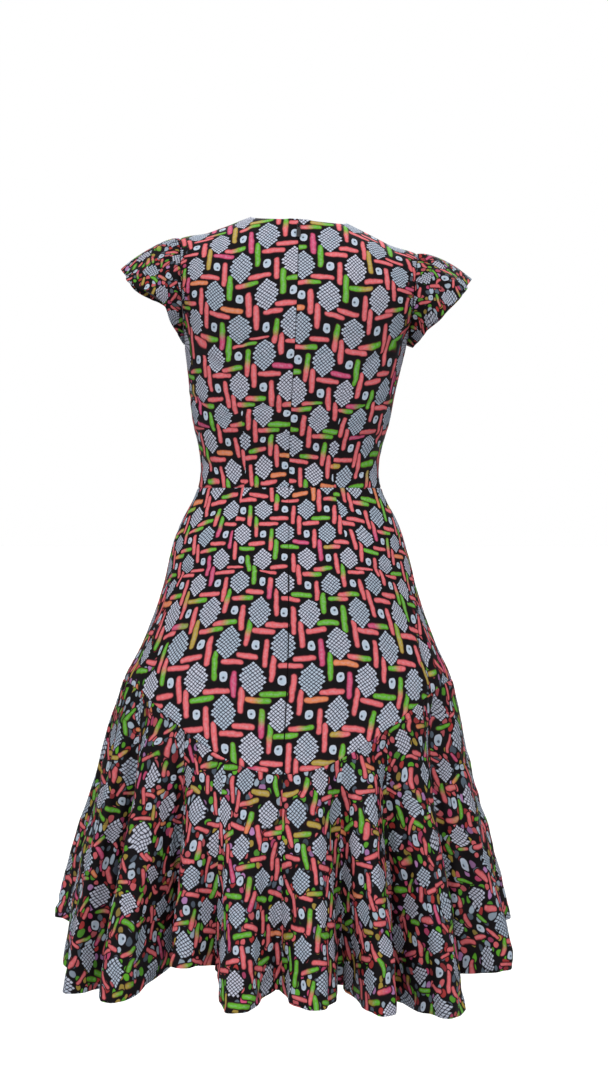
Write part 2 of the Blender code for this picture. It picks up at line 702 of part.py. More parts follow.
def main():
    """Builds the dress."""
    clear()
    half_gap = SEAM_GAP / 2

    # bodice
    backs = {left: bodice_grid(True, left) for left in (True, False)}
    fronts = {left: bodice_grid(False, left) for left in (True, False)}
    parting = np.full(len(BODICE_ROWS) + len(YOKE_ROWS), half_gap)
    for row, share in PARTED_ROWS.items():
        parting[len(BODICE_ROWS) + YOKE_ROWS.index(row)] = ZIP_PARTING * share
    lower = np.zeros(len(parting))
    lower[: len(BODICE_ROWS) + 1] = half_gap  # the side seam, up to the underarm
    edges = {}
    for left, side in ((True, "left"), (False, "right")):
        panel = inset(backs[left], half_gap, SHOULDER_GAP / 2, parting, lower)
        edges[left] = panel
        cloth(f"bodice_back_{side}", panel, PRINTED_COTTON, flipped=left)
    front = np.concatenate([fronts[False][:, ::-1], fronts[True][:, 1:]], axis=1)
    front = inset(front, half_gap, 0.0, lower, lower)
    shoulder = slice(NECK_COLUMNS, None)
    for half in (front[:, QUARTER_COLUMNS::-1], front[:, QUARTER_COLUMNS:]):
        half[-1, shoulder] += unit(half[-2] - half[-1])[shoulder] * SHOULDER_GAP / 2
    cloth("bodice_front", front, PRINTED_COTTON)

    # sleeves
    hems = {True: LEFT_SLEEVE_HEM, False: RIGHT_SLEEVE_HEM}
    for left, side in ((True, "left"), (False, "right")):
        grid = sleeve_grid(fronts[left], backs[left], hems[left], left)
        grid = inset(grid, SLEEVE_GAP)
        cloth(f"sleeve_{side}", grid, PRINTED_COTTON, flipped=left)

    # skirt
    spans = {
        "skirt_back_left": (0, 90),
        "skirt_back_right": (90, 180),
        "skirt_front": (180, 360),
    }
    skirts = {}
    for name, (first, last) in spans.items():
        grid = skirt_grid(quarter(first, last))
        skirts[name] = inset(grid, half_gap, half_gap, half_gap, half_gap)
        cloth(name, skirts[name], PRINTED_COTTON)
        grid = flounce_grid(first, last)
        grid = inset(grid, 0.0, half_gap, half_gap, half_gap)
        cloth(name.replace("skirt", "flounce"), grid, PRINTED_COTTON)

    # zip
    skirt_left = skirts["skirt_back_left"][:, ::-1]
    tape("zip_tape_left", tape_grid(edges[True], skirt_left, 1))
    tape("zip_tape_right", tape_grid(edges[False], skirts["skirt_back_right"], -1))
    centre = yoke(True, np.array(0.0), np.array(SLIDER_RISE), True)
    below = yoke(True, np.array(0.0), np.array(SLIDER_RISE - SLIDER_RUN), True)
    slope = Vector(centre - below)
    lean_back = np.arctan2(slope.z, -slope.y) - pi / 2
    place = Vector(centre)
    slider(place, -lean_back)
    outward = Matrix.Rotation(-lean_back, 3, "X") @ Vector((0, AXIS_OUT, 0))
    pull_tab(place + outward, -lean_back)


main()
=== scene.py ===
"""Knee-length dress in wax-printed cotton, filled out as it is worn.

Metres, +Z up. The front of the dress faces -Y, the back +Y, and the wearer's left is
+X. The origin is between the two side neck points. Angles go round the dress in
degrees, anticlockwise seen from above: 0 is the left side seam, 90 the centre back,
180 the right side seam and 270 the centre front.

Each sewn piece is a thin shell of cloth on the form of its solid, with its seams
rolled in, its darts, creases and puckers, and its seam allowances and hems turned
inside. Every piece carries its place on the flat cloth, and the print is drawn there.
"""

import logging
from collections.abc import Sequence
from dataclasses import dataclass, field
from enum import Enum
from math import cos, pi, radians, sin, tan
from typing import NamedTuple

import bpy
import numpy as np
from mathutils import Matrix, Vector


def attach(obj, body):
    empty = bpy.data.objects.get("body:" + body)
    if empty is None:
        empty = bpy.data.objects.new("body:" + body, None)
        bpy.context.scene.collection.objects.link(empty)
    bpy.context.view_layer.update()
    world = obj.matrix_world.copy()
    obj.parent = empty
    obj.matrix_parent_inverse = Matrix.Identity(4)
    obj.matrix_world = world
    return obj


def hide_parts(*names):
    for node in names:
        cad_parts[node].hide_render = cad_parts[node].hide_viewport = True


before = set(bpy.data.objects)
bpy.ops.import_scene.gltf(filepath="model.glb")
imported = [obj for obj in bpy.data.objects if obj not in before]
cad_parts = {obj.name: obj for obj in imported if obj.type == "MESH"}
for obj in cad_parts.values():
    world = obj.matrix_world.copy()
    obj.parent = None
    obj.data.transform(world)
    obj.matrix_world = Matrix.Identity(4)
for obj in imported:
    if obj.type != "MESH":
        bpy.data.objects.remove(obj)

log = logging.getLogger("dress")

Array = np.ndarray
Colour = tuple[float, float, float]
Bands = tuple[tuple[float, Colour], ...]

BODY = "dress"
PRINT_MAP = "flat_cloth"
STATE_MAP = "cloth_state"

# ---------------------------------------------------------------- node arithmetic


class Value:
    """One output of a node. Python's operators on it add Math nodes."""

    def __init__(self, board: "Board", socket: bpy.types.NodeSocket) -> None:
        """Keeps the socket and the board it is on."""
        self.board = board
        self.socket = socket

    def math(self, operation: str, *others: "Value | float") -> "Value":
        """Adds a Math node.

        Args:
            operation: the node's operation.
            others: its further inputs.

        Returns:
            The result.
        """
        return self.board.node(
            "ShaderNodeMath", {"operation": operation}, [self, *others]
        )

    def __add__(self, other: "Value | float") -> "Value":
        """Sum."""
        return self.math("ADD", other)

    __radd__ = __add__

    def __sub__(self, other: "Value | float") -> "Value":
        """Difference."""
        return self.math("SUBTRACT", other)

    def __rsub__(self, other: float) -> "Value":
        """Difference, with the number first."""
        return self.math("MULTIPLY", -1.0) + other

    def __mul__(self, other: "Value | float") -> "Value":
        """Product."""
        return self.math("MULTIPLY", other)

    def __truediv__(self, other: "Value | float") -> "Value":
        """Quotient."""
        return self.math("DIVIDE", other)

    def __pow__(self, other: float) -> "Value":
        """Power."""
        return self.math("POWER", other)

    def __abs__(self) -> "Value":
        """Absolute value."""
        return self.math("ABSOLUTE")

    def rounded(self) -> "Value":
        """The nearest whole number."""
        return self.math("ROUND")

    def above(self, limit: "Value | float") -> "Value":
        """1 over the limit, else 0."""
        return self.math("GREATER_THAN", limit)

    def most(self, other: "Value | float") -> "Value":
        """The larger of the two."""
        return self.math("MAXIMUM", other)

    def least(self, other: "Value | float") -> "Value":
        """The smaller of the two."""
        return self.math("MINIMUM", other)

    def rise(self, low: float, high: float) -> "Value":
        """A smooth step from 0 at `low` to 1 at `high`."""
        return self.board.node(
            "ShaderNodeMapRange",
            {"interpolation_type": "SMOOTHSTEP"},
            {"Value": self, "From Min": low, "From Max": high},
        )

    def fall(self, low: float, high: float) -> "Value":
        """A smooth step from 1 at `low` to 0 at `high`."""
        return 1.0 - self.rise(low, high)


class Board:
    """The node tree of one material."""

    def __init__(self, name: str) -> None:
        """Makes an empty material of this name."""
        self.material = bpy.data.materials.new(name)
        self.material.use_nodes = True
        self.tree = self.material.node_tree
        self.tree.nodes.clear()

    def node(
        self,
        kind: str,
        settings: dict | None = None,
        inputs: dict | Sequence | None = None,
        output: int | str = 0,
    ) -> Value:
        """Adds a node.

        Args:
            kind: the node's type.
            settings: its own settings. For a ramp, "stops" lists places and colours.
            inputs: values or links for its sockets, by name or number, or in order.
            output: which output to return.

        Returns:
            The output.
        """
        made = self.tree.nodes.new(kind)
        for key, value in (settings or {}).items():
            if key == "stops":
                ramp = made.color_ramp
                while len(ramp.elements) < len(value):
                    ramp.elements.new(1.0)
                for element, (place, colour) in zip(ramp.elements, value):
                    element.position = place
                    element.color = (*colour, 1.0)
            elif key == "interpolation":
                made.color_ramp.interpolation = value
            else:
                setattr(made, key, value)
        pairs = inputs.items() if isinstance(inputs, dict) else enumerate(inputs or ())
        for key, value in pairs:
            socket = made.inputs[key]
            if isinstance(value, Value):
                self.tree.links.new(value.socket, socket)
            elif socket.type == "RGBA":
                socket.default_value = (*value, 1.0)
            else:
                socket.default_value = value
        return Value(self, made.outputs[output] if made.outputs else None)

    def mix(self, share: Value, low: Value | Colour, high: Value | Colour) -> Value:
        """A colour between two, `high` where the share is 1."""
        return self.node(
            "ShaderNodeMix",
            {"data_type": "RGBA"},
            {0: share, 6: low, 7: high},
            2,
        )

    def tinted(self, colour: Value | Colour, tint: Value | Colour) -> Value:
        """The product of two colours."""
        return self.node(
            "ShaderNodeMix",
            {"data_type": "RGBA", "blend_type": "MULTIPLY"},
            {0: 1.0, 6: colour, 7: tint},
            2,
        )

    def grey(self, value: Value) -> Value:
        """A colour with this value in all three channels."""
        return self.node("ShaderNodeCombineColor", None, [value, value, value])

    def uv(self, name: str) -> Value:
        """The place on a UV map."""
        return self.node("ShaderNodeUVMap", {"uv_map": name})

    def place(self) -> Value:
        """The place on the object itself."""
        return self.node("ShaderNodeTexCoord", None, None, "Object")

    def vector(
        self, x: Value | float, y: Value | float, z: Value | float = 0.0
    ) -> Value:
        """A vector of three values."""
        return self.node("ShaderNodeCombineXYZ", None, [x, y, z])

    def parts(self, vector: Value) -> tuple[Value, Value, Value]:
        """The three parts of a vector or colour."""
        split = self.node("ShaderNodeSeparateXYZ", None, [vector])
        outputs = split.socket.node.outputs
        return tuple(Value(self, socket) for socket in outputs)

    def noise(
        self, place: Value, size: float, detail: float = 1.0
    ) -> tuple[Value, Value, Value]:
        """Three channels of soft noise about 0.5.

        Args:
            place: the place in metres.
            size: the size of its blotches in metres.
            detail: how many finer layers it has.

        Returns:
            The channels.
        """
        return self.parts(
            self.node(
                "ShaderNodeTexNoise",
                {"noise_dimensions": "3D"},
                {"Vector": place, "Scale": 1 / size, "Detail": detail},
                "Color",
            )
        )

    def chance(self, dimensions: str, key: Value, output: str) -> Value:
        """A chance from 0 to 1 that goes with a key, or a colour of three."""
        return self.node(
            "ShaderNodeTexWhiteNoise",
            {"noise_dimensions": dimensions},
            {"Vector": key},
            output,
        )

    def bands(self, bands: Bands, value: Value) -> Value:
        """The colour of the band that a value from 0 to 1 lies in."""
        settings = {"stops": bands, "interpolation": "CONSTANT"}
        return self.node("ShaderNodeValToRGB", settings, [value])

    def bump(self, height: Value, distance: float, strength: float) -> Value:
        """A normal tilted by a height from 0 to 1 that stands for `distance`."""
        return self.node(
            "ShaderNodeBump",
            None,
            {"Height": height, "Distance": distance, "Strength": strength},
        )

    def finish(self, **sockets: "Value | float | Colour") -> bpy.types.Material:
        """Ends the material in a Principled shader.

        Args:
            sockets: its inputs, with _ for a space.

        Returns:
            The material.
        """
        inputs = {key.replace("_", " "): value for key, value in sockets.items()}
        shader = self.node("ShaderNodeBsdfPrincipled", None, inputs)
        self.node("ShaderNodeOutputMaterial", None, {"Surface": shader})
        return self.material


def linear(code: str) -> Colour:
    """A hex colour as linear red, green and blue."""
    parts = [int(code[i : i + 2], 16) / 255 for i in (0, 2, 4)]
    return tuple(
        p / 12.92 if p <= 0.04045 else ((p + 0.055) / 1.055) ** 2.4 for p in parts
    )


# ---------------------------------------------------------------------- the print


class Motif(NamedTuple):
    """A motif's middle in the repeat, to the right and up, and its own chance seed."""

    right: float
    up: float
    seed: float


class Way(Enum):
    """Which way a bar of the print runs."""

    ACROSS = "across"
    UPRIGHT = "upright"


@dataclass(frozen=True)
class Spot:
    """A place on the cloth as the shader meets it, and how the cloth is there.

    `raw` is the place itself, `right` and `up` the same with the print's own wobble,
    `slack` the looseness of the cloth and `loose` that of the print, and `seam` the
    painted shade line along the zip's closed seam.
    """

    board: Board
    raw: Value
    right: Value
    up: Value
    slack: Value
    loose: Value
    seam: Value
    wobble: Value


@dataclass(frozen=True)
class Looseness:
    """How the print gives way where it is fully loose, and how much painted shade
    darkens it there.
    """

    stray_right: float = 0.016
    stray_up: float = 0.010
    sweep: float = 0.030
    slant: float = 1.7
    shorter: float = 0.22
    thinner: float = 0.20
    smaller: float = 0.08
    uneven: float = 0.30
    greener: float = 0.10
    # painted shade: how much darker the print is painted where fully loose
    painted_shade: float = 0.20
    check_wider: float = 0.16


@dataclass(frozen=True)
class WaxPrint:
    """The wax print: a basket weave of bars with checked diamonds and beads in it.

    The repeat is centred: each row of diamonds is moved half a repeat from the next.
    Where the cloth is loose the bars are shorter and lie at all angles, with pebbles of
    the same colours between them.
    """

    repeat: float = 0.0690
    row: float = 0.0434
    diamond: Motif = Motif(0.0, 0.0, 1.0)
    bead: Motif = Motif(0.0345, 0.0, 2.0)
    bars: tuple[tuple[Motif, Way], ...] = (
        (Motif(-0.0094, 0.0270, 3.0), Way.ACROSS),
        (Motif(-0.0266, 0.0181, 4.0), Way.ACROSS),
        (Motif(-0.0220, -0.0099, 5.0), Way.UPRIGHT),
        (Motif(-0.0125, -0.0286, 6.0), Way.UPRIGHT),
    )
    bar_half: dict[Way, float] = field(
        default_factory=lambda: {Way.ACROSS: 0.0158, Way.UPRIGHT: 0.0188}
    )
    bar_width: float = 0.0036
    bar_stray: float = 0.0022
    bar_slant: float = 0.13
    green_row: dict[Way, float] = field(
        default_factory=lambda: {Way.ACROSS: 0.66, Way.UPRIGHT: 0.90}
    )
    edge: float = 0.0005
    halo: tuple[float, float] = (0.0010, 0.0018)
    outer_fringe: tuple[float, float] = (0.0002, 0.0016)
    inner_fringe: tuple[float, float] = (-0.0015, -0.0001)
    stroke: float = 0.0035
    bead_right: float = 0.0048
    bead_up: float = 0.0062
    bead_corner: float = 2.6
    eye: tuple[float, float] = (0.0009, 0.0021)
    diamond_right: float = 0.0148
    diamond_up: float = 0.0200
    diamond_corner: float = 1.50
    diamond_rim: float = 1.08
    check: float = 0.0055
    check_tall: float = 0.90
    check_edge: tuple[float, float] = (0.23, 0.49)
    waist_row: float = -7.5
    waist_rows: float = 3.2
    waist_check: float = 0.0007
    pebble: float = 0.0105
    pebble_tall: float = 0.78
    wobble: float = 0.0030
    wobble_size: float = 0.011
    sweep_size: float = 0.040
    blotch_size: float = 0.006
    thread_pitch: float = 0.0011
    give: Looseness = Looseness()
    ground: Colour = linear("0D090D")
    fringe: Colour = linear("35131C")
    coral: Colour = linear("E06A70")
    rose: Colour = linear("CC5078")
    red: Colour = linear("B23C3A")
    green: Colour = linear("62AE30")
    gold: Colour = linear("B39A45")
    apricot: Colour = linear("DD8358")
    lilac: Colour = linear("BC86BE")
    pale: Colour = linear("D3D6E8")
    ice: Colour = linear("B4C6D8")
    slate: Colour = linear("5C6A78")
    shade: Colour = linear("2B2839")
    reverse: Colour = linear("77747B")
    bar_bands: Bands = (
        (0.0, coral),
        (0.38, rose),
        (0.44, coral),
        (0.64, green),
        (0.82, gold),
        (0.93, apricot),
    )
    pebble_bands: Bands = (
        (0.0, coral),
        (0.24, red),
        (0.38, green),
        (0.52, rose),
        (0.58, lilac),
        (0.64, gold),
        (0.73, slate),
        (0.87, ice),
    )

    def cell(
        self, spot: Spot, motif: Motif
    ) -> tuple[Value, Value, Value, tuple[Value, Value, Value]]:
        """The nearest copy of a motif.

        Args:
            spot: the place on the cloth.
            motif: the motif.

        Returns:
            The place from its middle, to the right and up, its row's number, and three
            chances that belong to this copy.
        """
        board = spot.board
        shifted = spot.up - motif.up
        row = (shifted / self.row).rounded()
        across = spot.right - motif.right - row * (self.repeat / 2)
        column = (across / self.repeat).rounded()
        chance = board.chance("3D", board.vector(column, row, motif.seed), "Color")
        right = across - column * self.repeat
        return right, shifted - row * self.row, row, board.parts(chance)

    def bar(self, spot: Spot, motif: Motif, way: Way) -> tuple[Value, Value]:
        """One set of bars.

        Args:
            spot: the place on the cloth.
            motif: the bars' place in the repeat.
            way: which way they run.

        Returns:
            Their colour, and the distance from their edge, below 0 inside.
        """
        board, loose, give = spot.board, spot.loose, self.give
        right, up, row, (first, second, third) = self.cell(spot, motif)
        right = right + (first - 0.5) * (loose * give.stray_right + self.bar_stray)
        up = up + (second - 0.5) * (loose * give.stray_up + self.bar_stray)
        slant = (third - 0.5) * (loose * give.slant + self.bar_slant)
        run, off = (right, up) if way is Way.ACROSS else (up, right)
        run, off = run + off * slant, off - run * slant
        scale = 1.0 - loose * (give.shorter + first * give.uneven)
        half = (self.bar_half[way] + (second - 0.5) * 0.004) * scale
        reach = abs(run) / half
        width = (self.bar_width + first * 0.0005) * (1.0 - reach * reach * 0.22)
        width = width * (1.0 - loose * give.thinner)
        beyond = (abs(run) - half + self.bar_width).most(0.0)
        distance = (beyond * beyond + off * off).math("SQRT") - width

        # whole rows lean to green, and some bars turn colour halfway along
        band = board.chance("2D", board.vector(row, motif.seed), "Value")
        green = (band + loose * give.greener).above(self.green_row[way])
        near = first * (0.70 - green * 0.16) + green * 0.46
        far = (second * 0.8 + first * 0.2) * 0.46 + 0.42
        turn = run.rise(-0.008, 0.008) * third.rise(0.55, 0.60)
        one, other = board.bands(self.bar_bands, near), board.bands(self.bar_bands, far)
        return board.mix(turn, one, other), distance

    def checks(
        self, right: Value, up: Value, size: Value
    ) -> tuple[Value, Value, Value]:
        """The diagonal check inside the diamonds.

        Args:
            right: the place from the diamond's middle.
            up: the same, upwards.
            size: the checks' size.

        Returns:
            1 on a check and 0 between, and the check's middle, to the right and up.
        """
        across, along_up = right / size, up / (size * self.check_tall)
        first, second = across + along_up, across - along_up
        i, j = first.rounded(), second.rounded()
        edge = self.check_edge
        inside = abs(first - i).fall(*edge) * abs(second - j).fall(*edge)
        middle_right = (i + j) * size * 0.5
        middle_up = (i - j) * size * (self.check_tall / 2)
        return inside, middle_right, middle_up

    def pebbles(self, spot: Spot) -> Value:
        """The ground, with pebbles on it where the print is loose."""
        board = spot.board
        pick = board.node(
            "ShaderNodeTexVoronoi",
            {"voronoi_dimensions": "2D", "feature": "F1"},
            {
                "Vector": board.vector(spot.right, spot.up * self.pebble_tall),
                "Scale": 1 / self.pebble,
                "Randomness": 0.85,
            },
            "Color",
        )
        near = Value(board, pick.socket.node.outputs["Distance"])
        first, second, third = board.parts(pick)
        colour = board.bands(self.pebble_bands, first)
        colour = board.mix(third * 0.45, colour, self.shade)
        size = second * 0.16 + 0.26
        share = (near - size).fall(-0.06, 0.04) * spot.loose.rise(0.15, 0.27)
        return board.mix(share, self.ground, colour)

    def lay_bars(self, spot: Spot, colour: Value) -> Value:
        """Lays the bars on a colour, each with a dark edge of its own."""
        board = spot.board
        stroke, _, _ = board.noise(spot.raw, self.stroke)
        layers = [self.bar(spot, motif, way) for motif, way in self.bars]
        nearest = layers[0][1]
        for _, distance in layers[1:]:
            nearest = nearest.least(distance)
        colour = board.mix(nearest.fall(*self.halo), colour, self.ground)
        rim = nearest.fall(*self.outer_fringe) * 0.9
        colour = board.mix(rim, colour, self.fringe)
        for tone, distance in layers:
            streak = (stroke - distance * 150.0).rise(0.75, 1.15) * 0.16
            worn = board.mix(streak, tone, self.pale)
            rim = distance.rise(*self.inner_fringe) * 0.62
            worn = board.mix(rim, worn, self.fringe)
            colour = board.mix(distance.fall(-self.edge, self.edge), colour, worn)
        return colour

    def lay_beads(self, spot: Spot, colour: Value) -> Value:
        """Lays the beads, each with a darker eye, on a colour."""
        board = spot.board
        right, up, _, (first, second, _) = self.cell(spot, self.bead)
        far = (abs(right) / self.bead_right) ** self.bead_corner
        far = far + (abs(up) / self.bead_up) ** self.bead_corner
        eye_right = right + (first - 0.5) * 0.003
        eye_up = up + (second - 0.5) * 0.005
        eye = (eye_right * eye_right + eye_up * eye_up).math("SQRT")
        bead = board.mix(far.rise(0.30, 0.55) * 0.5, self.ice, self.pale)
        bead = board.mix(eye.fall(*self.eye) * 0.85, bead, self.shade)
        colour = board.mix(far.fall(1.6, 2.4), colour, self.ground)
        return board.mix(far.fall(0.7, 1.2), colour, bead)

    def lay_diamonds(self, spot: Spot, colour: Value) -> Value:
        """Lays the diamonds, whose edges are stepped in whole checks, on a colour."""
        board, give = spot.board, self.give
        right, up, row, (first, second, _) = self.cell(spot, self.diamond)
        at_waist = 1.0 - abs(row - self.waist_row).above(self.waist_rows)
        size = at_waist * self.waist_check + self.check
        size = size + spot.slack * self.check * give.check_wider
        inside, middle_right, middle_up = self.checks(right, up, size)
        grow = 1.0 - spot.loose * (first * give.uneven + give.smaller)

        def reach(right: Value, up: Value, rim: float) -> Value:
            """How far out a place is, 1 on the edge of a diamond `rim` times as big."""
            out = abs(right) / (grow * self.diamond_right * rim)
            tall = abs(up) / (grow * self.diamond_up * rim)
            return out**self.diamond_corner + tall**self.diamond_corner

        body = reach(middle_right, middle_up, 1.0).fall(0.99, 1.01)
        around = reach(right, up, self.diamond_rim).fall(0.98, 1.10)
        colour = board.mix(around, colour, self.ground)
        tint = (second * 0.5 + spot.wobble * 0.6).rise(0.2, 0.9)
        colour = board.mix(body * 0.9, colour, self.shade)
        return board.mix(inside * body, colour, board.mix(tint, self.pale, self.ice))

    def spot(self, board: Board) -> Spot:
        """The place that is being shaded, with the print's wobble worked in."""
        flat = board.uv(PRINT_MAP)
        # the state map's second channel is the painted shade line along the zip's
        # closed seam
        slack, seam, _ = board.parts(board.uv(STATE_MAP))
        raw_right, raw_up, _ = board.parts(flat)
        wobble_right, wobble_up, _ = board.noise(flat, self.wobble_size)
        sweep_right, sweep_up, patch = board.noise(flat, self.sweep_size, 0.6)
        loose = (slack * (0.25 + patch * 1.5)).least(1.0)
        right = raw_right + (wobble_right - 0.5) * self.wobble
        up = raw_up + (wobble_up - 0.5) * self.wobble
        right = right + (sweep_right - 0.5) * slack * self.give.sweep
        up = up + (sweep_up - 0.5) * slack * self.give.sweep
        return Spot(board, flat, right, up, slack, loose, seam, wobble_right)

    def paint(self, board: Board, strength: float) -> Value:
        """Draws the print.

        Args:
            board: the material's nodes.
            strength: how much of it shows, 1 on the right side of the cloth.

        Returns:
            The colour.
        """
        spot = self.spot(board)
        colour = self.pebbles(spot)
        for lay in (self.lay_bars, self.lay_beads, self.lay_diamonds):
            colour = lay(spot, colour)

        # painted shade: a dark line along the closed zip's seam, where the cloth turns
        # in
        colour = board.mix(spot.seam.rise(0.48, 0.78) * 0.94, colour, self.ground)

        # the dye takes unevenly, and the print is darkened where it is loose, towards
        # the sides and on the sleeves and flounce: painted shade
        blotch, _, fine = board.noise(spot.raw, self.blotch_size, 2.0)
        dye_and_shade = 0.80 + blotch * 0.26 + fine * 0.12
        # painted shade: darker where the print is loose
        dye_and_shade = dye_and_shade * (1.0 - spot.loose * self.give.painted_shade)
        colour = board.tinted(colour, board.grey(dye_and_shade))
        if strength < 1:
            cloth = board.tinted(board.grey(0.9 + blotch * 0.2), self.reverse)
            veil = strength * 0.8 + blotch * strength * 0.4
            colour = board.mix(veil, cloth, colour)
        return colour

    def weave(self, board: Board) -> Value:
        """The plain weave as a height from 0 to 1."""
        flat = board.uv(PRINT_MAP)
        right, up, _ = board.parts(flat)
        over = (right * (2 * pi / self.thread_pitch)).math("SINE")
        under = (up * (2 * pi / self.thread_pitch)).math("SINE")
        slub, _, _ = board.noise(flat, 0.0022, 2.0)
        return over * under * 0.25 + 0.35 + slub * 0.4

    def right_side(self) -> bpy.types.Material:
        """The printed side, with a slight wax sheen."""
        board = Board("wax_print")
        mottle, _, _ = board.noise(board.uv(PRINT_MAP), 0.02)
        return board.finish(
            Base_Color=self.paint(board, 1.0),
            Roughness=0.62 + mottle * 0.16,
            Specular_IOR_Level=0.10,
            Normal=board.bump(self.weave(board), 0.00012, 0.35),
        )

    def wrong_side(self) -> bpy.types.Material:
        """The inside of the cloth: grey, with the print coming through faintly."""
        board = Board("wax_print_wrong_side")
        return board.finish(
            Base_Color=self.paint(board, 0.16),
            Roughness=0.85,
            Specular_IOR_Level=0.2,
            Normal=board.bump(self.weave(board), 0.00012, 0.3),
        )


@dataclass(frozen=True)
class ZipTapeFinish:
    """Black knitted tape with fine ribs along it."""

    base: Colour = linear("1B1A1E")
    # the painted highlight on the crests of the ribs and stitches
    light: Colour = linear("3A383E")
    rib: float = 0.0009
    stitch_slant: float = 3000.0

    def material(self) -> bpy.types.Material:
        """The tape's material."""
        board = Board("zip_tape_knit")
        x, _, z = board.parts(board.place())
        rib = (x * (2 * pi / self.rib)).math("SINE") * 0.5 + 0.5
        stitch = z * (2 * pi / self.rib) + x * self.stitch_slant
        height = rib * 0.6 + (stitch.math("SINE") * 0.5 + 0.5) * 0.4
        return board.finish(
            # painted light: the crests of the ribs and stitches are painted lighter and
            # the grooves between them darker
            Base_Color=board.mix(height, self.base, self.light),
            Roughness=0.82,
            Normal=board.bump(height, 0.0002, 0.5),
        )


@dataclass(frozen=True)
class LacquerFinish:
    """Black lacquered zinc, rubbed bright along its edges."""

    lacquer: Colour = linear("1C1A1E")
    rubbed: Colour = linear("57544F")

    def material(self) -> bpy.types.Material:
        """The slider's and the pull tab's material."""
        board = Board("zip_lacquer")
        speck, _, _ = board.noise(board.place(), 0.0012, 3.0)
        pointed = board.node("ShaderNodeNewGeometry", None, None, "Pointiness")
        worn = (pointed + (speck - 0.5) * 0.12).rise(0.60, 0.72)
        return board.finish(
            Base_Color=board.mix(worn, self.lacquer, self.rubbed),
            Metallic=0.25 + worn * 0.6,
            Roughness=0.46 + speck * 0.2 - worn * 0.06,
            Normal=board.bump(speck, 0.00008, 0.3),
        )


# ----------------------------------------------------------------- the dress's form


class Level(NamedTuple):
    """A level section without folds: half its width, its depth behind and before."""

    z: float
    side: float
    back: float
    front: float


class Lean(NamedTuple):
    """Sideways shift of the dress's middle at a height."""

    z: float
    shift: float


class Yoke(NamedTuple):
    """Upper bodice: its depth at the centre and how far round the armhole's edge is."""

    rise: float
    depth: float
    reach: float


class SleeveHem(NamedTuple):
    """A point of a sleeve's hem, from the shoulder (run 0) to the underarm (run 1)."""

    run: float
    out: float
    behind: float
    z: float


class Fold(NamedTuple):
    """A ridge or valley of the flounce, where it begins, and the hem's height there."""

    angle: float
    push: float
    start: float
    hem_z: float


LEVELS = (
    Level(-1.060, 0.312, 0.226, 0.224),
    Level(-0.980, 0.301, 0.217, 0.213),
    Level(-0.920, 0.290, 0.208, 0.202),
    Level(-0.860, 0.277, 0.198, 0.189),
    Level(-0.800, 0.262, 0.187, 0.175),
    Level(-0.740, 0.251, 0.176, 0.162),
    Level(-0.690, 0.241, 0.166, 0.150),
    Level(-0.640, 0.227, 0.157, 0.138),
    Level(-0.600, 0.207, 0.149, 0.128),
    Level(-0.557, 0.190, 0.142, 0.120),
    Level(-0.515, 0.1765, 0.135, 0.115),
    Level(-0.466, 0.1645, 0.121, 0.111),
    Level(-0.424, 0.1500, 0.104, 0.106),
    Level(-0.396, 0.1350, 0.093, 0.102),
    Level(-0.379, 0.1280, 0.088, 0.100),
    Level(-0.354, 0.1246, 0.086, 0.099),
    Level(-0.319, 0.1290, 0.091, 0.104),
    Level(-0.291, 0.1365, 0.097, 0.112),
    Level(-0.256, 0.1420, 0.103, 0.121),
    Level(-0.228, 0.1465, 0.106, 0.125),
    Level(-0.186, 0.1540, 0.108, 0.124),
)
LEANS = (
    Lean(-1.060, 0.0220),
    Lean(-0.740, 0.0200),
    Lean(-0.600, 0.0140),
    Lean(-0.466, 0.0135),
    Lean(-0.354, 0.0130),
    Lean(-0.256, 0.0095),
    Lean(-0.186, 0.0050),
    Lean(-0.080, 0.0010),
    Lean(0.010, 0.0),
)
BACK_YOKE = (
    Yoke(0.00, 0.108, 90.0),
    Yoke(0.20, 0.109, 76.0),
    Yoke(0.45, 0.108, 65.0),
    Yoke(0.70, 0.104, 61.0),
    Yoke(1.00, 0.100, 60.0),
)
FRONT_YOKE = (
    Yoke(0.00, 0.124, 90.0),
    Yoke(0.20, 0.119, 72.0),
    Yoke(0.45, 0.110, 60.0),
    Yoke(0.70, 0.099, 57.0),
    Yoke(1.00, 0.088, 57.0),
)
LEFT_SLEEVE_HEM = (
    SleeveHem(0.00, 0.2460, 0.000, -0.077),
    SleeveHem(0.15, 0.2425, 0.026, -0.084),
    SleeveHem(0.30, 0.2320, 0.046, -0.099),
    SleeveHem(0.50, 0.2110, 0.058, -0.110),
    SleeveHem(0.65, 0.1915, 0.057, -0.121),
    SleeveHem(0.82, 0.1765, 0.040, -0.150),
    SleeveHem(1.00, 0.1610, 0.012, -0.178),
)
RIGHT_SLEEVE_HEM = (
    SleeveHem(0.00, 0.2390, 0.000, -0.090),
    SleeveHem(0.15, 0.2360, 0.026, -0.097),
    SleeveHem(0.30, 0.2260, 0.046, -0.112),
    SleeveHem(0.50, 0.2060, 0.060, -0.134),
    SleeveHem(0.65, 0.1870, 0.059, -0.151),
    SleeveHem(0.82, 0.1720, 0.041, -0.168),
    SleeveHem(1.00, 0.1600, 0.010, -0.183),
)
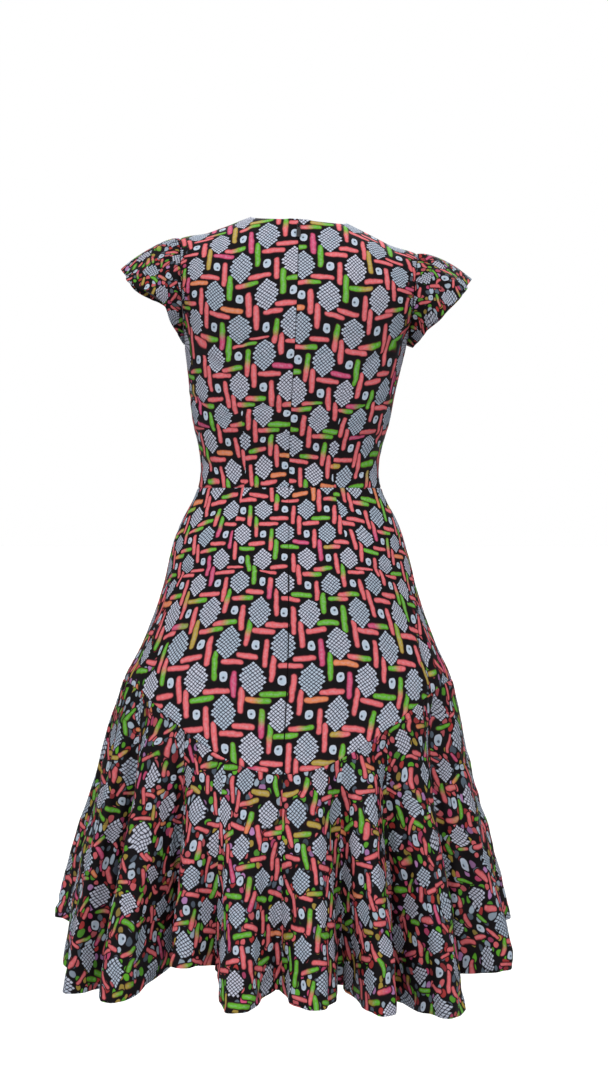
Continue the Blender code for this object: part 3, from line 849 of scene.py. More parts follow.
FOLDS = (
    Fold(0.0, -0.024, 0.00, -1.004),
    Fold(12.5, 0.001, 0.00, -1.036),
    Fold(20.0, -0.008, 0.10, -1.050),
    Fold(27.5, 0.012, 0.00, -1.060),
    Fold(35.0, -0.034, 0.00, -1.056),
    Fold(48.5, 0.024, 0.05, -1.052),
    Fold(57.5, -0.036, 0.00, -1.008),
    Fold(65.0, 0.006, 0.20, -1.003),
    Fold(72.0, -0.020, 0.25, -1.008),
    Fold(79.0, 0.023, 0.20, -1.052),
    Fold(88.5, -0.018, 0.30, -1.036),
    Fold(97.5, 0.023, 0.05, -1.048),
    Fold(107.5, -0.036, 0.00, -1.042),
    Fold(113.5, 0.020, 0.00, -1.060),
    Fold(123.0, -0.034, 0.00, -1.066),
    Fold(131.5, 0.021, 0.00, -1.072),
    Fold(145.0, -0.036, 0.00, -1.044),
    Fold(162.5, 0.018, 0.00, -1.036),
    Fold(180.0, -0.022, 0.00, -1.010),
    Fold(192.5, 0.028, 0.00, -0.994),
    Fold(202.5, -0.022, 0.00, -1.000),
    Fold(212.5, 0.022, 0.05, -1.006),
    Fold(225.0, -0.026, 0.00, -0.998),
    Fold(235.0, 0.023, 0.10, -1.004),
    Fold(247.5, -0.022, 0.10, -0.996),
    Fold(257.5, 0.020, 0.15, -1.002),
    Fold(270.0, -0.024, 0.10, -0.994),
    Fold(280.0, 0.022, 0.10, -1.002),
    Fold(292.5, -0.026, 0.05, -0.996),
    Fold(302.5, 0.023, 0.05, -1.004),
    Fold(315.0, -0.025, 0.00, -0.998),
    Fold(325.0, 0.022, 0.00, -1.004),
    Fold(337.5, -0.024, 0.00, -0.996),
    Fold(350.0, 0.028, 0.00, -0.990),
)


def column(rows: Sequence[NamedTuple], name: str) -> Array:
    """One column of a table as an array."""
    return np.array([getattr(row, name) for row in rows], float)


def smooth(rows: Sequence[NamedTuple], key: str, name: str, at: Array) -> Array:
    """A table's column on a smooth curve through its rows.

    Args:
        rows: the table.
        key: the column to look up in.
        name: the column to read.
        at: the key's values.

    Returns:
        The column's values there.
    """
    keys = column(rows, key)
    values = column(rows, name)
    slopes = np.gradient(values, keys)
    at = np.clip(at, keys[0], keys[-1])
    i = np.clip(np.searchsorted(keys, at) - 1, 0, len(keys) - 2)
    span = keys[i + 1] - keys[i]
    t = (at - keys[i]) / span
    s = 1 - t
    return (
        values[i] * (1 + 2 * t) * s**2
        + slopes[i] * span * t * s**2
        + values[i + 1] * (3 - 2 * t) * t**2
        - slopes[i + 1] * span * s * t**2
    )


def ease(t: Array | float) -> Array:
    """0 to 1 with level ends."""
    t = np.clip(t, 0, 1)
    return t * t * (3 - 2 * t)


def unit(vectors: Array) -> Array:
    """The vectors at length 1."""
    return vectors / np.maximum(np.linalg.norm(vectors, axis=-1, keepdims=True), 1e-12)


@dataclass(frozen=True)
class DressForm:
    """The dress's outer face as formulas, in the sizes of its solids."""

    neck_half: float = 0.066
    nape_drop: float = 0.012
    front_neck_drop: float = 0.085
    nape_behind: float = 0.060
    neck_behind: float = 0.010
    front_neck_before: float = 0.078
    tip_half: float = 0.165
    tip_drop: float = 0.042
    tip_before: float = 0.003
    shoulder_tilt: float = 0.067
    round_shoulder: float = 3.5
    neck_hollow: float = 2.2
    neck_share: float = 1 / 3
    nape_sag: float = 0.0015
    neck_sag: float = 0.0078
    underarm_z: float = -0.186
    waist_z: float = -0.379
    squareness: float = 0.035
    bust_z: float = -0.238
    bust_out: float = 0.078
    bust_fullness: float = 0.011
    bust_spread: float = 0.048
    seam_side_z: float = -0.645
    seam_back_z: float = -0.755
    seam_front_z: float = -0.700
    seam_sweep: float = 4
    fold_growth: float = 0.85
    ridge_breadth: float = 1.45
    hem_breadth: float = 1.85
    valley_depth: float = 2.1
    sleeve_puff: float = 0.009
    puff_high: float = 0.7
    puff_breadth: float = 0.5
    sleeve_wave: float = 0.004
    sleeve_waves: float = 3.5
    sleeve_crowding: float = 0.8
    puff_way: tuple[float, float, float, float] = (0.7, 0.8, 0.6, 0.1)

    def lean(self, z: Array) -> Array:
        """How far the dress's middle is to the left of the origin at a height."""
        return smooth(LEANS, "z", "shift", z)

    def seam_z(self, angle: Array) -> Array:
        """Height of the flounce seam at angles."""
        across = np.sin(np.radians(angle))
        lowest = np.where(across > 0, self.seam_back_z, self.seam_front_z)
        return self.seam_side_z + (lowest - self.seam_side_z) * across**self.seam_sweep

    def bust(self, x: Array, z: Array) -> Array:
        """How far the bust darts fill out the front."""
        across = (np.abs(x) - self.bust_out) / self.bust_spread
        up = (z - self.bust_z) / self.bust_spread
        return self.bust_fullness * np.exp(-(across**2) - up**2)

    def ring(self, angle: Array, z: Array) -> Array:
        """Points at angles on level sections.

        Args:
            angle: angles in degrees.
            z: heights, of a shape that goes with the angles'.

        Returns:
            The points.
        """
        turn = np.radians(angle)
        across, along = np.sin(turn), np.cos(turn)
        fuller = 1 + self.squareness * np.sin(2 * turn) ** 2
        back = smooth(LEVELS, "z", "back", z)
        front = smooth(LEVELS, "z", "front", z)
        x = smooth(LEVELS, "z", "side", z) * along * fuller
        y = np.where(across > 0, back, front) * across * fuller
        y = y - np.where(across < 0, self.bust(x, z) * np.abs(across), 0)
        return np.stack([x + self.lean(z), y, z + 0 * x], -1)

    def yoke(self, back: bool, share: Array, rise: Array, left: bool) -> Array:
        """Points of the upper bodice.

        Args:
            back: the back or the front.
            share: 0 at the centre to 1 at the armhole's edge.
            rise: 0 at the underarm to 1 at the neck and shoulder edge.
            left: the wearer's left half or the right.

        Returns:
            The points.
        """
        table = BACK_YOKE if back else FRONT_YOKE
        facing = 1 if back else -1
        sideways = 1 if left else -1
        at_neck = np.clip(share / self.neck_share, 0, 1)
        at_shoulder = np.clip((share - self.neck_share) / (1 - self.neck_share), 0, 1)
        fuller = 1 + self.squareness * np.sin(pi * share) ** 2 * (1 - rise)

        round_neck = np.cos(at_neck * pi / 2)
        edge_x = self.neck_half * np.sin(at_neck * pi / 2)
        edge_x = edge_x + (self.tip_half - self.neck_half) * at_shoulder
        middle_y = self.nape_behind if back else -self.front_neck_before
        edge_y = self.neck_behind + (middle_y - self.neck_behind) * round_neck
        edge_y = edge_y - (self.neck_behind + self.tip_before) * at_shoulder
        drop = self.nape_drop if back else self.front_neck_drop
        edge_z = -drop * round_neck - self.tip_drop * at_shoulder
        sag = self.nape_sag + (self.neck_sag - self.nape_sag) * ease(at_neck)
        edge_z = edge_z - sag * (1 - ease((at_shoulder - 0.55) / 0.45))

        side = smooth(LEVELS, "z", "side", np.array(self.underarm_z))
        under_x = side * np.sin(share * pi / 2) * fuller
        x = sideways * (under_x + (edge_x - under_x) * rise)
        reach = np.radians(smooth(table, "rise", "reach", rise))
        depth = smooth(table, "rise", "depth", rise)
        y = facing * depth * np.cos(reach * share) * fuller
        hollow = rise**self.neck_hollow
        rounded = 1 - np.sqrt(1 - np.clip(rise, 0, 1) ** self.round_shoulder)
        y = y + (edge_y - y) * (hollow + (rounded - hollow) * ease(at_neck))
        edge_z = edge_z + self.shoulder_tilt * x
        z = self.underarm_z + (edge_z - self.underarm_z) * rise
        if not back:
            y = y - self.bust(x, z) * np.cos(share * pi / 2)
        return np.stack([x + self.lean(z), y, z], -1)

    def between(self, angle: Array) -> tuple[Array, Array, Array]:
        """The folds before and after angles, and the share of the way between them."""
        angles = column(FOLDS, "angle")
        angle = np.mod(angle - angles[0], 360) + angles[0]
        before = np.searchsorted(angles, angle, side="right") - 1
        after = (before + 1) % len(FOLDS)
        span = np.mod(angles[after] - angles[before], 360)
        return before, after, np.mod(angle - angles[before], 360) / span

    def way_down(self, angle: Array, breadth: float) -> Array:
        """Share of the way between two folds, broader at the ridges by `breadth`."""
        push = column(FOLDS, "push")
        before, after, t = self.between(angle)
        falling = push[before] > push[after]
        from_ridge = ease(np.where(falling, t, 1 - t) ** breadth)
        return np.where(falling, from_ridge, 1 - from_ridge)

    def fold_push(self, angle: Array, down: Array) -> Array:
        """Push of the folds, `down` the share of the way from seam to hem."""
        push = column(FOLDS, "push")
        push = np.where(push < 0, push * self.valley_depth, push)
        start = column(FOLDS, "start")
        before, after, _ = self.between(angle)
        grown = [
            push[i]
            * np.clip((down - start[i]) / (1 - start[i]), 0, 1) ** self.fold_growth
            for i in (before, after)
        ]
        way = self.way_down(angle, self.ridge_breadth)
        return grown[0] + (grown[1] - grown[0]) * way

    def hem_z(self, angle: Array) -> Array:
        """Height of the hem at angles."""
        heights = column(FOLDS, "hem_z")
        before, after, _ = self.between(angle)
        way = self.way_down(angle, self.hem_breadth)
        return heights[before] + (heights[after] - heights[before]) * way

    def flounce(self, angle: Array, down: Array) -> Array:
        """Points of the flounce, `down` from 0 at the seam to 1 at the hem."""
        z = self.seam_z(angle) + (self.hem_z(angle) - self.seam_z(angle)) * down
        points = self.ring(angle, z)
        turn = np.radians(angle)
        side = smooth(LEVELS, "z", "side", z)
        depth = smooth(LEVELS, "z", "back", z)
        outward = np.stack([depth * np.cos(turn), side * np.sin(turn), 0 * z], -1)
        return points + unit(outward) * self.fold_push(angle, down)[..., None]

    def sleeve(self, share: Array, rise: Array, left: bool) -> Array:
        """Points of a sleeve.

        Args:
            share: 0 at the armhole to 1 at the hem.
            rise: the armhole's yoke heights, negative on the front half.
            left: the wearer's left sleeve or the right.

        Returns:
            The points.
        """
        hem = LEFT_SLEEVE_HEM if left else RIGHT_SLEEVE_HEM
        edge = np.array(1.0)
        front = self.yoke(False, edge, np.abs(rise), left)
        back = self.yoke(True, edge, np.abs(rise), left)
        behind = ease((rise / np.abs(rise) * (1 - np.abs(rise)) / 0.02 + 1) / 2)
        armhole = front + (back - front) * behind[..., None]

        lowest = np.abs(rise).min()
        far = (1 - (np.abs(rise) - lowest) / (1 - lowest)) ** self.sleeve_crowding
        run = far * np.sign(rise)
        sideways = 1 if left else -1
        tips = np.stack(
            [
                smooth(hem, "run", "out", far) * sideways,
                smooth(hem, "run", "behind", far) * np.sign(run),
                smooth(hem, "run", "z", far),
            ],
            -1,
        )
        fullness = np.sin(pi * (1 - far) / 2) ** self.puff_breadth
        out, aside, up, level = self.puff_way
        outward = np.stack(
            [out * sideways + 0 * run, aside * run, up * (1 - far) + level], -1
        )
        wave = np.cos(2 * pi * self.sleeve_waves * run) * self.sleeve_wave * fullness
        lift = self.sleeve_puff * np.sin(pi * share**self.puff_high) * fullness
        lift = lift + wave * share
        points = armhole + (tips - armhole) * share[..., None]
        return points + unit(outward) * lift[..., None]


# ------------------------------------------------------------------- cloth on a form


class Crease(NamedTuple):
    """A crease of the worn cloth, placed on the flat cloth from the centre line."""

    across: float
    height: float
    run: float
    tilt: float
    depth: float
    breadth: float
    tuck: float


class Dart(NamedTuple):
    """A dart: its distance from the centre as a share, and its ends and intake."""

    share: float
    point_z: float
    mouth_z: float
    intake: float

    def taken(self, heights: Array) -> Array:
        """Cloth that the dart takes in at heights."""
        way = (heights - self.point_z) / (self.mouth_z - self.point_z)
        return self.intake * np.clip(way, 0, 1) ** 0.9


class Edge(Enum):
    """The four edges of a grid."""

    LOW = "low"
    HIGH = "high"
    FIRST = "first"
    LAST = "last"


def spaced(
    length: float,
    pitch: float,
    marks: Sequence[float] = (),
    close: Sequence[float] = (0.0006, 0.0014, 0.0026, 0.0045),
) -> Array:
    """Shares of a length for a grid's lines.

    Args:
        length: the length in metres.
        pitch: the usual distance between lines.
        marks: shares of the length that get a line, with close lines beside it.
        close: distances of the close lines from the ends and the marks.

    Returns:
        The shares, from 0 to 1.
    """
    stops = [0.0, *(mark * length for mark in sorted(marks)), length]
    lines = set(stops)
    for start, end in zip(stops, stops[1:]):
        lines.update(start + c for c in close)
        lines.update(end - c for c in close)
        inner = end - start - 2 * close[-1]
        count = max(1, round(inner / pitch))
        lines.update(start + close[-1] + inner * i / count for i in range(count))
    return np.unique(np.round(np.array(sorted(lines)) / length, 7))


def hump(place: Array, breadth: float = 1.0) -> Array:
    """A soft hump, 1 at 0."""
    return np.exp(-((place / breadth) ** 2))


def along(points: Array, axis: int) -> Array:
    """Length run along a grid's rows or columns up to each point."""
    steps = np.linalg.norm(np.diff(points, axis=axis), axis=-1)
    start = np.zeros_like(np.take(steps, [0], axis=axis))
    return np.concatenate([start, np.cumsum(steps, axis=axis)], axis=axis)


def facing(points: Array) -> Array:
    """Outward normals of a grid whose columns go right and rows go up."""
    right = np.gradient(points, axis=1)
    up = np.gradient(points, axis=0)
    return unit(np.cross(right, up))


@dataclass
class Cloth:
    """A grid of cloth on its way to its worn shape.

    Columns go right and rows go up, both seen from outside. `shift` moves the print on
    the flat cloth, `steps` are columns where cloth is taken in, `lead` is the way that
    its upright edges are pushed, and `zipped` its edge on the zip, if it has one.
    """

    points: Array
    flat: Array = field(init=False)
    shift: Array = field(init=False)
    loose: Array = field(init=False)
    steps: list[tuple[int, Array]] = field(default_factory=list)
    origin: int = 0
    lead: Array | None = None
    zipped: Edge | None = None
    shade_reach: float = 0.0034
    trough_bend: float = 0.56
    waver_lengths: tuple[float, ...] = (0.135, 0.094, 0.071, 0.052, 0.037)

    def __post_init__(self) -> None:
        """Starts with an empty print shift and a firm cloth."""
        self.flat = np.zeros(self.points.shape[:2] + (2,))
        self.shift = np.zeros_like(self.flat)
        self.loose = np.zeros(self.points.shape[:2])

    def state(self) -> Array:
        """How loose each point is, which also darkens the print as painted shade, and
        how near to the zip's closed seam, which sets the painted shade line there.
        """
        near = np.zeros(self.points.shape[:2])
        if self.zipped is not None:
            near = np.clip(1 - self.distance(self.zipped) / self.shade_reach, 0, 1)
        return np.stack([self.loose, near], -1)

    def loosen(self, most: float, width: float, start: float, reach: float) -> None:
        """Loosens the print towards the sides, where it is also darkened as painted
        shade.

        Args:
            most: how loose it is at the sides.
            width: the distance from the centre line that the shares are of.
            start: the share where it begins.
            reach: the share over which it grows.
        """
        way = np.abs(self.flat[..., 0]) / width
        self.loose = most * ease((way - start) / reach)

    def lay_flat(self, origin: int, height: float) -> None:
        """Works out where each point lies on the flat cloth.

        Args:
            origin: the column that lies straight up, such as the centre back.
            height: the cloth's height at the foot of that column.
        """
        p = self.points
        normal = facing(p)
        upward = np.gradient(p, axis=0)
        upward[..., 0] = 0
        upward = unit(upward)
        upward = unit(upward - normal * (upward * normal).sum(-1, keepdims=True))
        rightward = np.cross(upward, normal)
        step = np.diff(p, axis=1)
        across = (step * (rightward[:, 1:] + rightward[:, :-1])).sum(-1) / 2
        rising = (step * (upward[:, 1:] + upward[:, :-1])).sum(-1) / 2
        start = np.zeros((len(p), 1))
        u = np.concatenate([start, np.cumsum(across, 1)], 1)
        v = np.concatenate([start, np.cumsum(rising, 1)], 1)
        u -= u[:, origin : origin + 1]
        v -= v[:, origin : origin + 1]
        spine = along(p[:, origin : origin + 1], 0)
        self.flat = np.stack([u, v + spine + height], -1)
        self.origin = origin

    def lay_strip(self, level: float, height: Array | float) -> None:
        """Lays the cloth as a strip whose columns stay upright.

        Args:
            level: the share of the height at which its width is true.
            height: each column's height at its top row.
        """
        run = along(self.points, 1)
        base = run[round((len(run) - 1) * level)]
        u = np.broadcast_to(base - base[self.origin], run.shape)
        v = along(self.points, 0)
        self.flat = np.stack([u, v - v[-1:] + height], -1)

    def lay_folded(
        self,
        height: Array,
        ridges: Sequence[int],
        valleys: Sequence[int],
        scale: float,
    ) -> None:
        """Lays the cloth flat with its ridges upright and true to width between them.

        What is left over in each row is stepped over in the valleys.

        Args:
            height: each column's height at its top row.
            ridges: the ridges' columns.
            valleys: the valleys' columns, one between each two ridges.
            scale: how many times smaller the print is across.
        """
        run = along(self.points, 1)
        first = min(ridges, key=lambda ridge: abs(ridge - self.origin))
        base = run[0] - run[0, self.origin]
        u = run - run[:, first : first + 1] + base[first]
        v = along(self.points, 0)
        self.flat = np.stack([u, v - v[-1:] + height], -1)
        for one, other, valley in zip(ridges, ridges[1:], valleys):
            span = run[:, other] - run[:, one]
            self.steps.append((valley, (span[0] - span) * scale))
        self.origin = first

    def distance(self, edge: Edge) -> Array:
        """Distance of each point from an edge, over the cloth."""
        axis = 0 if edge in (Edge.LOW, Edge.HIGH) else 1
        run = along(self.points, axis)
        if edge in (Edge.LOW, Edge.FIRST):
            return run
        return np.take(run, [-1], axis=axis) - run

    def free(self, edges: Sequence[Edge], reach: float = 0.014) -> Array:
        """0 at these edges, 1 from `reach` on, so that both sides of a seam meet."""
        total = np.ones(self.points.shape[:2])
        for edge in edges:
            total = total * ease(self.distance(edge) / reach)
        return total

    def push(self, amount: Array) -> None:
        """Moves the cloth out along its normals, or its lead at its upright edges."""
        way = facing(self.points)
        if self.lead is not None:
            own = self.free((Edge.FIRST, Edge.LAST), 0.012)[..., None]
            way = unit(way * own + self.lead * (1 - own))
        self.points = self.points + way * amount[..., None]

    def crease(self, creases: Sequence[Crease], edges: Sequence[Edge]) -> None:
        """Adds creases: a trough with a softer ridge beside it, and cloth tucked in.

        Args:
            creases: the creases on this cloth.
            edges: edges that they don't reach.
        """
        total = np.zeros(self.points.shape[:2])
        for c in creases:
            turn = radians(c.tilt)
            right = self.flat[..., 0] - c.across
            up = self.flat[..., 1] - c.height
            run = right * cos(turn) + up * sin(turn)
            off = up * cos(turn) - right * sin(turn)
            off = (off + self.trough_bend * run**2 / c.run) / c.breadth
            taper = hump(2 * run / c.run)
            above, below = 0.5 * hump(off - 1.8, 1.2), 0.3 * hump(off + 1.9, 1.3)
            total += c.depth * taper * (above + below - hump(off))
            slide = c.tuck * taper * np.tanh(off * 2.2) / 2
            self.shift[..., 0] -= slide * sin(turn)
            self.shift[..., 1] += slide * cos(turn)
        self.push(total * self.free(edges))

    def waver(self, amount: float, seed: int, edges: Sequence[Edge]) -> None:
        """Adds the slight unevenness that worn cloth has, except at sewn edges."""
        chance = np.random.default_rng(seed)
        total = np.zeros(self.points.shape[:2])
        for length in self.waver_lengths:
            turn = chance.uniform(0, 2 * pi)
            phase = chance.uniform(0, 2 * pi)
            way = self.flat @ np.array([cos(turn), sin(turn)])
            total += np.sin(2 * pi * way / length + phase) * length / 0.4
        self.push(total * amount * self.free(edges))

    def pucker(
        self, edge: Edge, depth: float, length: float, reach: float, seed: int
    ) -> None:
        """Adds the small gathers that a seam draws in the cloth beside it.

        Args:
            edge: the sewn edge.
            depth: half their height at the seam.
            length: their usual length.
            reach: how far they reach into the cloth.
            seed: their chance seed.
        """
        chance = np.random.default_rng(seed)
        away = self.distance(edge)
        axis = 1 if edge in (Edge.LOW, Edge.HIGH) else 0
        run = along(self.points, axis)
        wander = sum(
            np.sin(run / length * chance.uniform(0.5, 1.6) + chance.uniform(0, 6))
            for _ in range(3)
        )
        wave = np.sin(2 * pi * run / length + 1.3 * wander)
        strength = 0.55 + 0.45 * np.sin(run / length / 1.7 + chance.uniform(0, 6))
        start = 1 - hump(away, 0.002)
        self.push(depth * wave * strength * start * np.exp(-((away / reach) ** 1.3)))

    def roll_in(self, edge: Edge, depth: float, radius: float) -> None:
        """Rolls an edge inwards, as a seam or a turned edge does.

        Args:
            edge: the edge.
            depth: how deep its end goes.
            radius: how far from the edge it begins.
        """
        self.push(-depth * self.rolled(self.distance(edge), radius))

    @staticmethod
    def rolled(away: Array, radius: float) -> Array:
        """How far a roll has gone at distances from its end, as a share."""
        t = np.clip(1 - away / radius, 0, 1)
        return 1 - np.sqrt(1 - t**2)

    def sew_dart(self, dart_column: int, intake: Array, depth: float) -> None:
        """Closes a dart on a column: a fine groove, and cloth taken in.

        Args:
            dart_column: the column it lies on.
            intake: the cloth taken in at each row.
            depth: the groove's depth at its widest.
        """
        run = along(self.points, 1)
        away = np.abs(run - run[:, dart_column : dart_column + 1])
        share = intake / max(intake.max(), 1e-9)
        firm = np.sqrt(share)[:, None]
        groove = self.rolled(away, 0.0022) * firm
        swell = hump(away - 0.007, 0.005) * firm
        self.push(-depth * groove + 0.25 * depth * swell)
        self.steps.append((dart_column, intake))

    def part(self, edge: Edge, amount: Array, reach: float) -> None:
        """Draws an edge back along the rows, easing off into the cloth.

        Args:
            edge: the first or the last column.
            amount: how far at each row.
            reach: where it has eased off.
        """
        away = self.distance(edge)
        sign = 1 if edge is Edge.FIRST else -1
        rows = unit(np.gradient(self.points, axis=1)) * sign
        move = amount[:, None] * np.clip(1 - away / reach, 0, 1)
        self.points = self.points + rows * move[..., None]

    def close_gap(self, gap: float) -> None:
        """Leaves a hair's clearance all round, so that sewn edges don't cut in."""
        p = self.points
        moved = p.copy()
        moved[0] += unit(p[1] - p[0]) * gap
        moved[-1] += unit(p[-2] - p[-1]) * gap
        moved[:, 0] += unit(p[:, 1] - p[:, 0]) * gap
        moved[:, -1] += unit(p[:, -2] - p[:, -1]) * gap
        self.points = moved

    def print_places(self, scale: tuple[float, float], turn: float) -> Array:
        """Places on the print for each point.

        Args:
            scale: how many times smaller the print is, across and upwards.
            turn: the grain's angle in degrees.

        Returns:
            The places.
        """
        place = (self.flat + self.shift) * np.array(scale)
        a = radians(turn)
        spin = np.array([[cos(a), -sin(a)], [sin(a), cos(a)]])
        return place @ spin.T

    def dart_shift(self, columns: Array) -> Array:
        """How far the darts move the print in each column of faces, at each row.

        Args:
            columns: the faces' columns.

        Returns:
            Shifts, one row for each row of points.
        """
        total = np.zeros((len(self.points), len(columns)))
        for place, intake in self.steps:
            if place > self.origin:
                total += intake[:, None] * (columns >= place)
            else:
                total -= intake[:, None] * (columns < place)
        return total


class Side(Enum):
    """The two sides of the cloth, in the order of a piece's material slots."""

    RIGHT = 0
    WRONG = 1


@dataclass
class Shells:
    """Closed shells of cloth gathered into one mesh."""

    thickness: float = 0.0006
    turned_thickness: float = 0.0004
    turned_gap: float = 0.00012
    turned_shift: float = 0.31
    vertices: list[Array] = field(default_factory=list)
    faces: list[Array] = field(default_factory=list)
    slots: list[Array] = field(default_factory=list)
    places: list[Array] = field(default_factory=list)
    states: list[Array] = field(default_factory=list)
    count: int = 0

    def add(
        self,
        points: Array,
        places: Array,
        state: Array,
        thickness: float,
        inner: Side,
        darts: Array | None = None,
    ) -> None:
        """Adds one shell.

        Args:
            points: its outer face, columns to the right and rows up.
            places: each point's place on the print.
            state: how loose each point is, and how near to the zip's seam.
            thickness: the cloth's.
            inner: which side of the cloth its inner face shows.
            darts: what the darts add to the print's place, by row and face column.
        """
        rows, columns = points.shape[:2]
        within = points - facing(points) * thickness
        ids = np.arange(rows * columns).reshape(rows, columns)
        far = ids + rows * columns
        last = columns - 2
        blocks = []

        def block(
            corners: Sequence[Array], slot: Side, column: int | None = None
        ) -> None:
            """Adds quads from four equal arrays of point numbers.

            Args:
                corners: the quads' corners, in turn.
                slot: the side of the cloth that they show.
                column: the column of faces that all of them belong to, if any.
            """
            quad = np.stack([c.ravel() for c in corners], -1)
            blocks.append((quad, slot.value, column))

        lower, upper = ids[:-1], ids[1:]
        block((lower[:, :-1], lower[:, 1:], upper[:, 1:], upper[:, :-1]), Side.RIGHT)
        lower, upper = far[:-1], far[1:]
        block((lower[:, :-1], upper[:, :-1], upper[:, 1:], lower[:, 1:]), inner)
        rims = (
            (ids[0, ::-1], far[0, ::-1], None),
            (ids[:, 0], far[:, 0], 0),
            (ids[-1], far[-1], None),
            (ids[::-1, -1], far[::-1, -1], last),
        )
        for near, deep, column in rims:
            block((near[:-1], near[1:], deep[1:], deep[:-1]), Side.RIGHT, column)

        flat_places = places.reshape(-1, 2)
        flat_state = state.reshape(-1, 2)
        for quad, slot, column in blocks:
            own = quad % (rows * columns)
            place = flat_places[own].copy()
            if darts is not None:
                face_column = np.minimum((own % columns).min(1), last)
                if column is not None:
                    face_column[:] = column
                place[..., 0] += darts[own // columns, face_column[:, None]]
            self.faces.append(quad + self.count)
            self.slots.append(np.full(len(quad), slot))
            self.places.append(place.reshape(-1, 2))
            self.states.append(flat_state[own].reshape(-1, 2))
        self.vertices.append(points.reshape(-1, 3))
        self.vertices.append(within.reshape(-1, 3))
        self.count += 2 * rows * columns

    def turn_in(self, cloth: Cloth, edge: Edge, width: float, places: Array) -> None:
        """Adds what is turned to the inside along an edge, an allowance or a hem.

        Args:
            cloth: the cloth, in its final shape.
            edge: the edge.
            width: how wide it is.
            places: the cloth's places on the print.
        """
        level = edge in (Edge.LOW, Edge.HIGH)
        away = cloth.distance(edge)
        wanted = np.flatnonzero((away.T if level else away).mean(0) <= width)
        if edge in (Edge.LOW, Edge.FIRST):
            span = slice(0, int(wanted.max()) + 1)
        else:
            span = slice(int(wanted.min()), None)
        cut = (span, slice(None)) if level else (slice(None), span)
        depth = self.thickness + self.turned_gap
        inside = cloth.points - facing(cloth.points) * depth
        self.add(
            inside[cut],
            places[cut] + self.turned_shift,
            cloth.state()[cut],
            self.turned_thickness,
            Side.RIGHT,
        )

    def build(
        self, name: str, materials: Sequence[bpy.types.Material]
    ) -> bpy.types.Object:
        """Makes the object.

        Args:
            name: its name.
            materials: its materials, right side first.

        Returns:
            The object, smooth but for its rims.
        """
        mesh = bpy.data.meshes.new(name)
        mesh.from_pydata(
            np.concatenate(self.vertices).tolist(),
            [],
            np.concatenate(self.faces).tolist(),
        )
        mesh.polygons.foreach_set(
            "material_index", np.concatenate(self.slots).astype(np.int32)
        )
        for key, rows in ((PRINT_MAP, self.places), (STATE_MAP, self.states)):
            layer = mesh.uv_layers.new(name=key)
            values = np.concatenate(rows).astype(np.float32)
            layer.data.foreach_set("uv", values.ravel())
        mesh.shade_smooth()
        mesh.set_sharp_from_angle(angle=radians(60))
        for material in materials:
            mesh.materials.append(material)
        mesh.update()
        piece = bpy.data.objects.new(name, mesh)
        bpy.context.scene.collection.objects.link(piece)
        return piece


class PrintScale(NamedTuple):
    """How many times smaller than true size the print is at a height."""

    height: float
    scale: float


PRINT_SCALES = (
    PrintScale(-0.800, 1.02),
    PrintScale(-0.700, 0.93),
    PrintScale(-0.620, 0.92),
    PrintScale(-0.560, 1.02),
    PrintScale(-0.500, 1.16),
    PrintScale(-0.430, 1.22),
    PrintScale(-0.379, 1.20),
    PrintScale(-0.300, 1.08),
    PrintScale(-0.220, 1.00),
    PrintScale(0.100, 1.00),
)


def scaled_flat(flat: Array) -> Array:
    """Flat places with the print's scale worked in, upwards from the waist.

    Args:
        flat: places on the flat cloth.

    Returns:
        Places on the print.
    """
    heights = np.linspace(-0.85, 0.15, 401)
    scales = smooth(PRINT_SCALES, "height", "scale", heights)
    climbed = np.concatenate(
        [[0.0], np.cumsum((scales[1:] + scales[:-1]) / 2 * np.diff(heights))]
    )
    climbed -= np.interp(0.0, heights, climbed)
    up = np.interp(flat[..., 1], heights, climbed)
    scale = smooth(PRINT_SCALES, "height", "scale", flat[..., 1])
    return np.stack([flat[..., 0] * scale, up], -1)


class Cut(NamedTuple):
    """A piece's flat cut: its width and length, its area and its place on the print."""

    flat_size: tuple[float, float]
    area: float
    place: tuple[float, float]


CUTS = {
    "bodice_back_left": Cut((0.27, 0.40), 0.080, (0.0395, 0.104)),
    "bodice_back_right": Cut((0.27, 0.40), 0.080, (-0.0400, 0.112)),
    "bodice_front": Cut((0.54, 0.42), 0.165, (0.0, 0.09)),
    "sleeve_left": Cut((0.40, 0.11), 0.030, (0.21, 0.13)),
    "sleeve_right": Cut((0.40, 0.11), 0.030, (0.47, 0.36)),
    "skirt_back_left": Cut((0.36, 0.40), 0.105, (0.006, 0.117)),
    "skirt_back_right": Cut((0.36, 0.40), 0.105, (0.006, 0.117)),
    "skirt_front": Cut((0.70, 0.36), 0.190, (0.0, 0.06)),
    "flounce_back_left": Cut((0.62, 0.42), 0.20, (0.006, 0.112)),
    "flounce_back_right": Cut((0.62, 0.42), 0.20, (0.006, 0.112)),
    "flounce_front": Cut((1.15, 0.40), 0.38, (0.0, 0.06)),
}


class Panel(NamedTuple):
    """A panel of skirt or flounce, and the angles of the seams that it is between."""

    name: str
    first: int
    last: int

    @property
    def front(self) -> bool:
        """Whether it is the front panel, which has no centre seam."""
        return self.name == "front"

    @property
    def centre(self) -> Edge:
        """The edge at the centre back, of a back panel."""
        return Edge.LAST if self.first == 0 else Edge.FIRST

    def middle(self, count: int) -> int:
        """The column on the centre line, out of `count` columns."""
        if self.front:
            return count // 2
        return count - 1 if self.centre is Edge.LAST else 0


PANELS = (
    Panel("back_left", 0, 90),
    Panel("back_right", 90, 180),
    Panel("front", 180, 360),
)


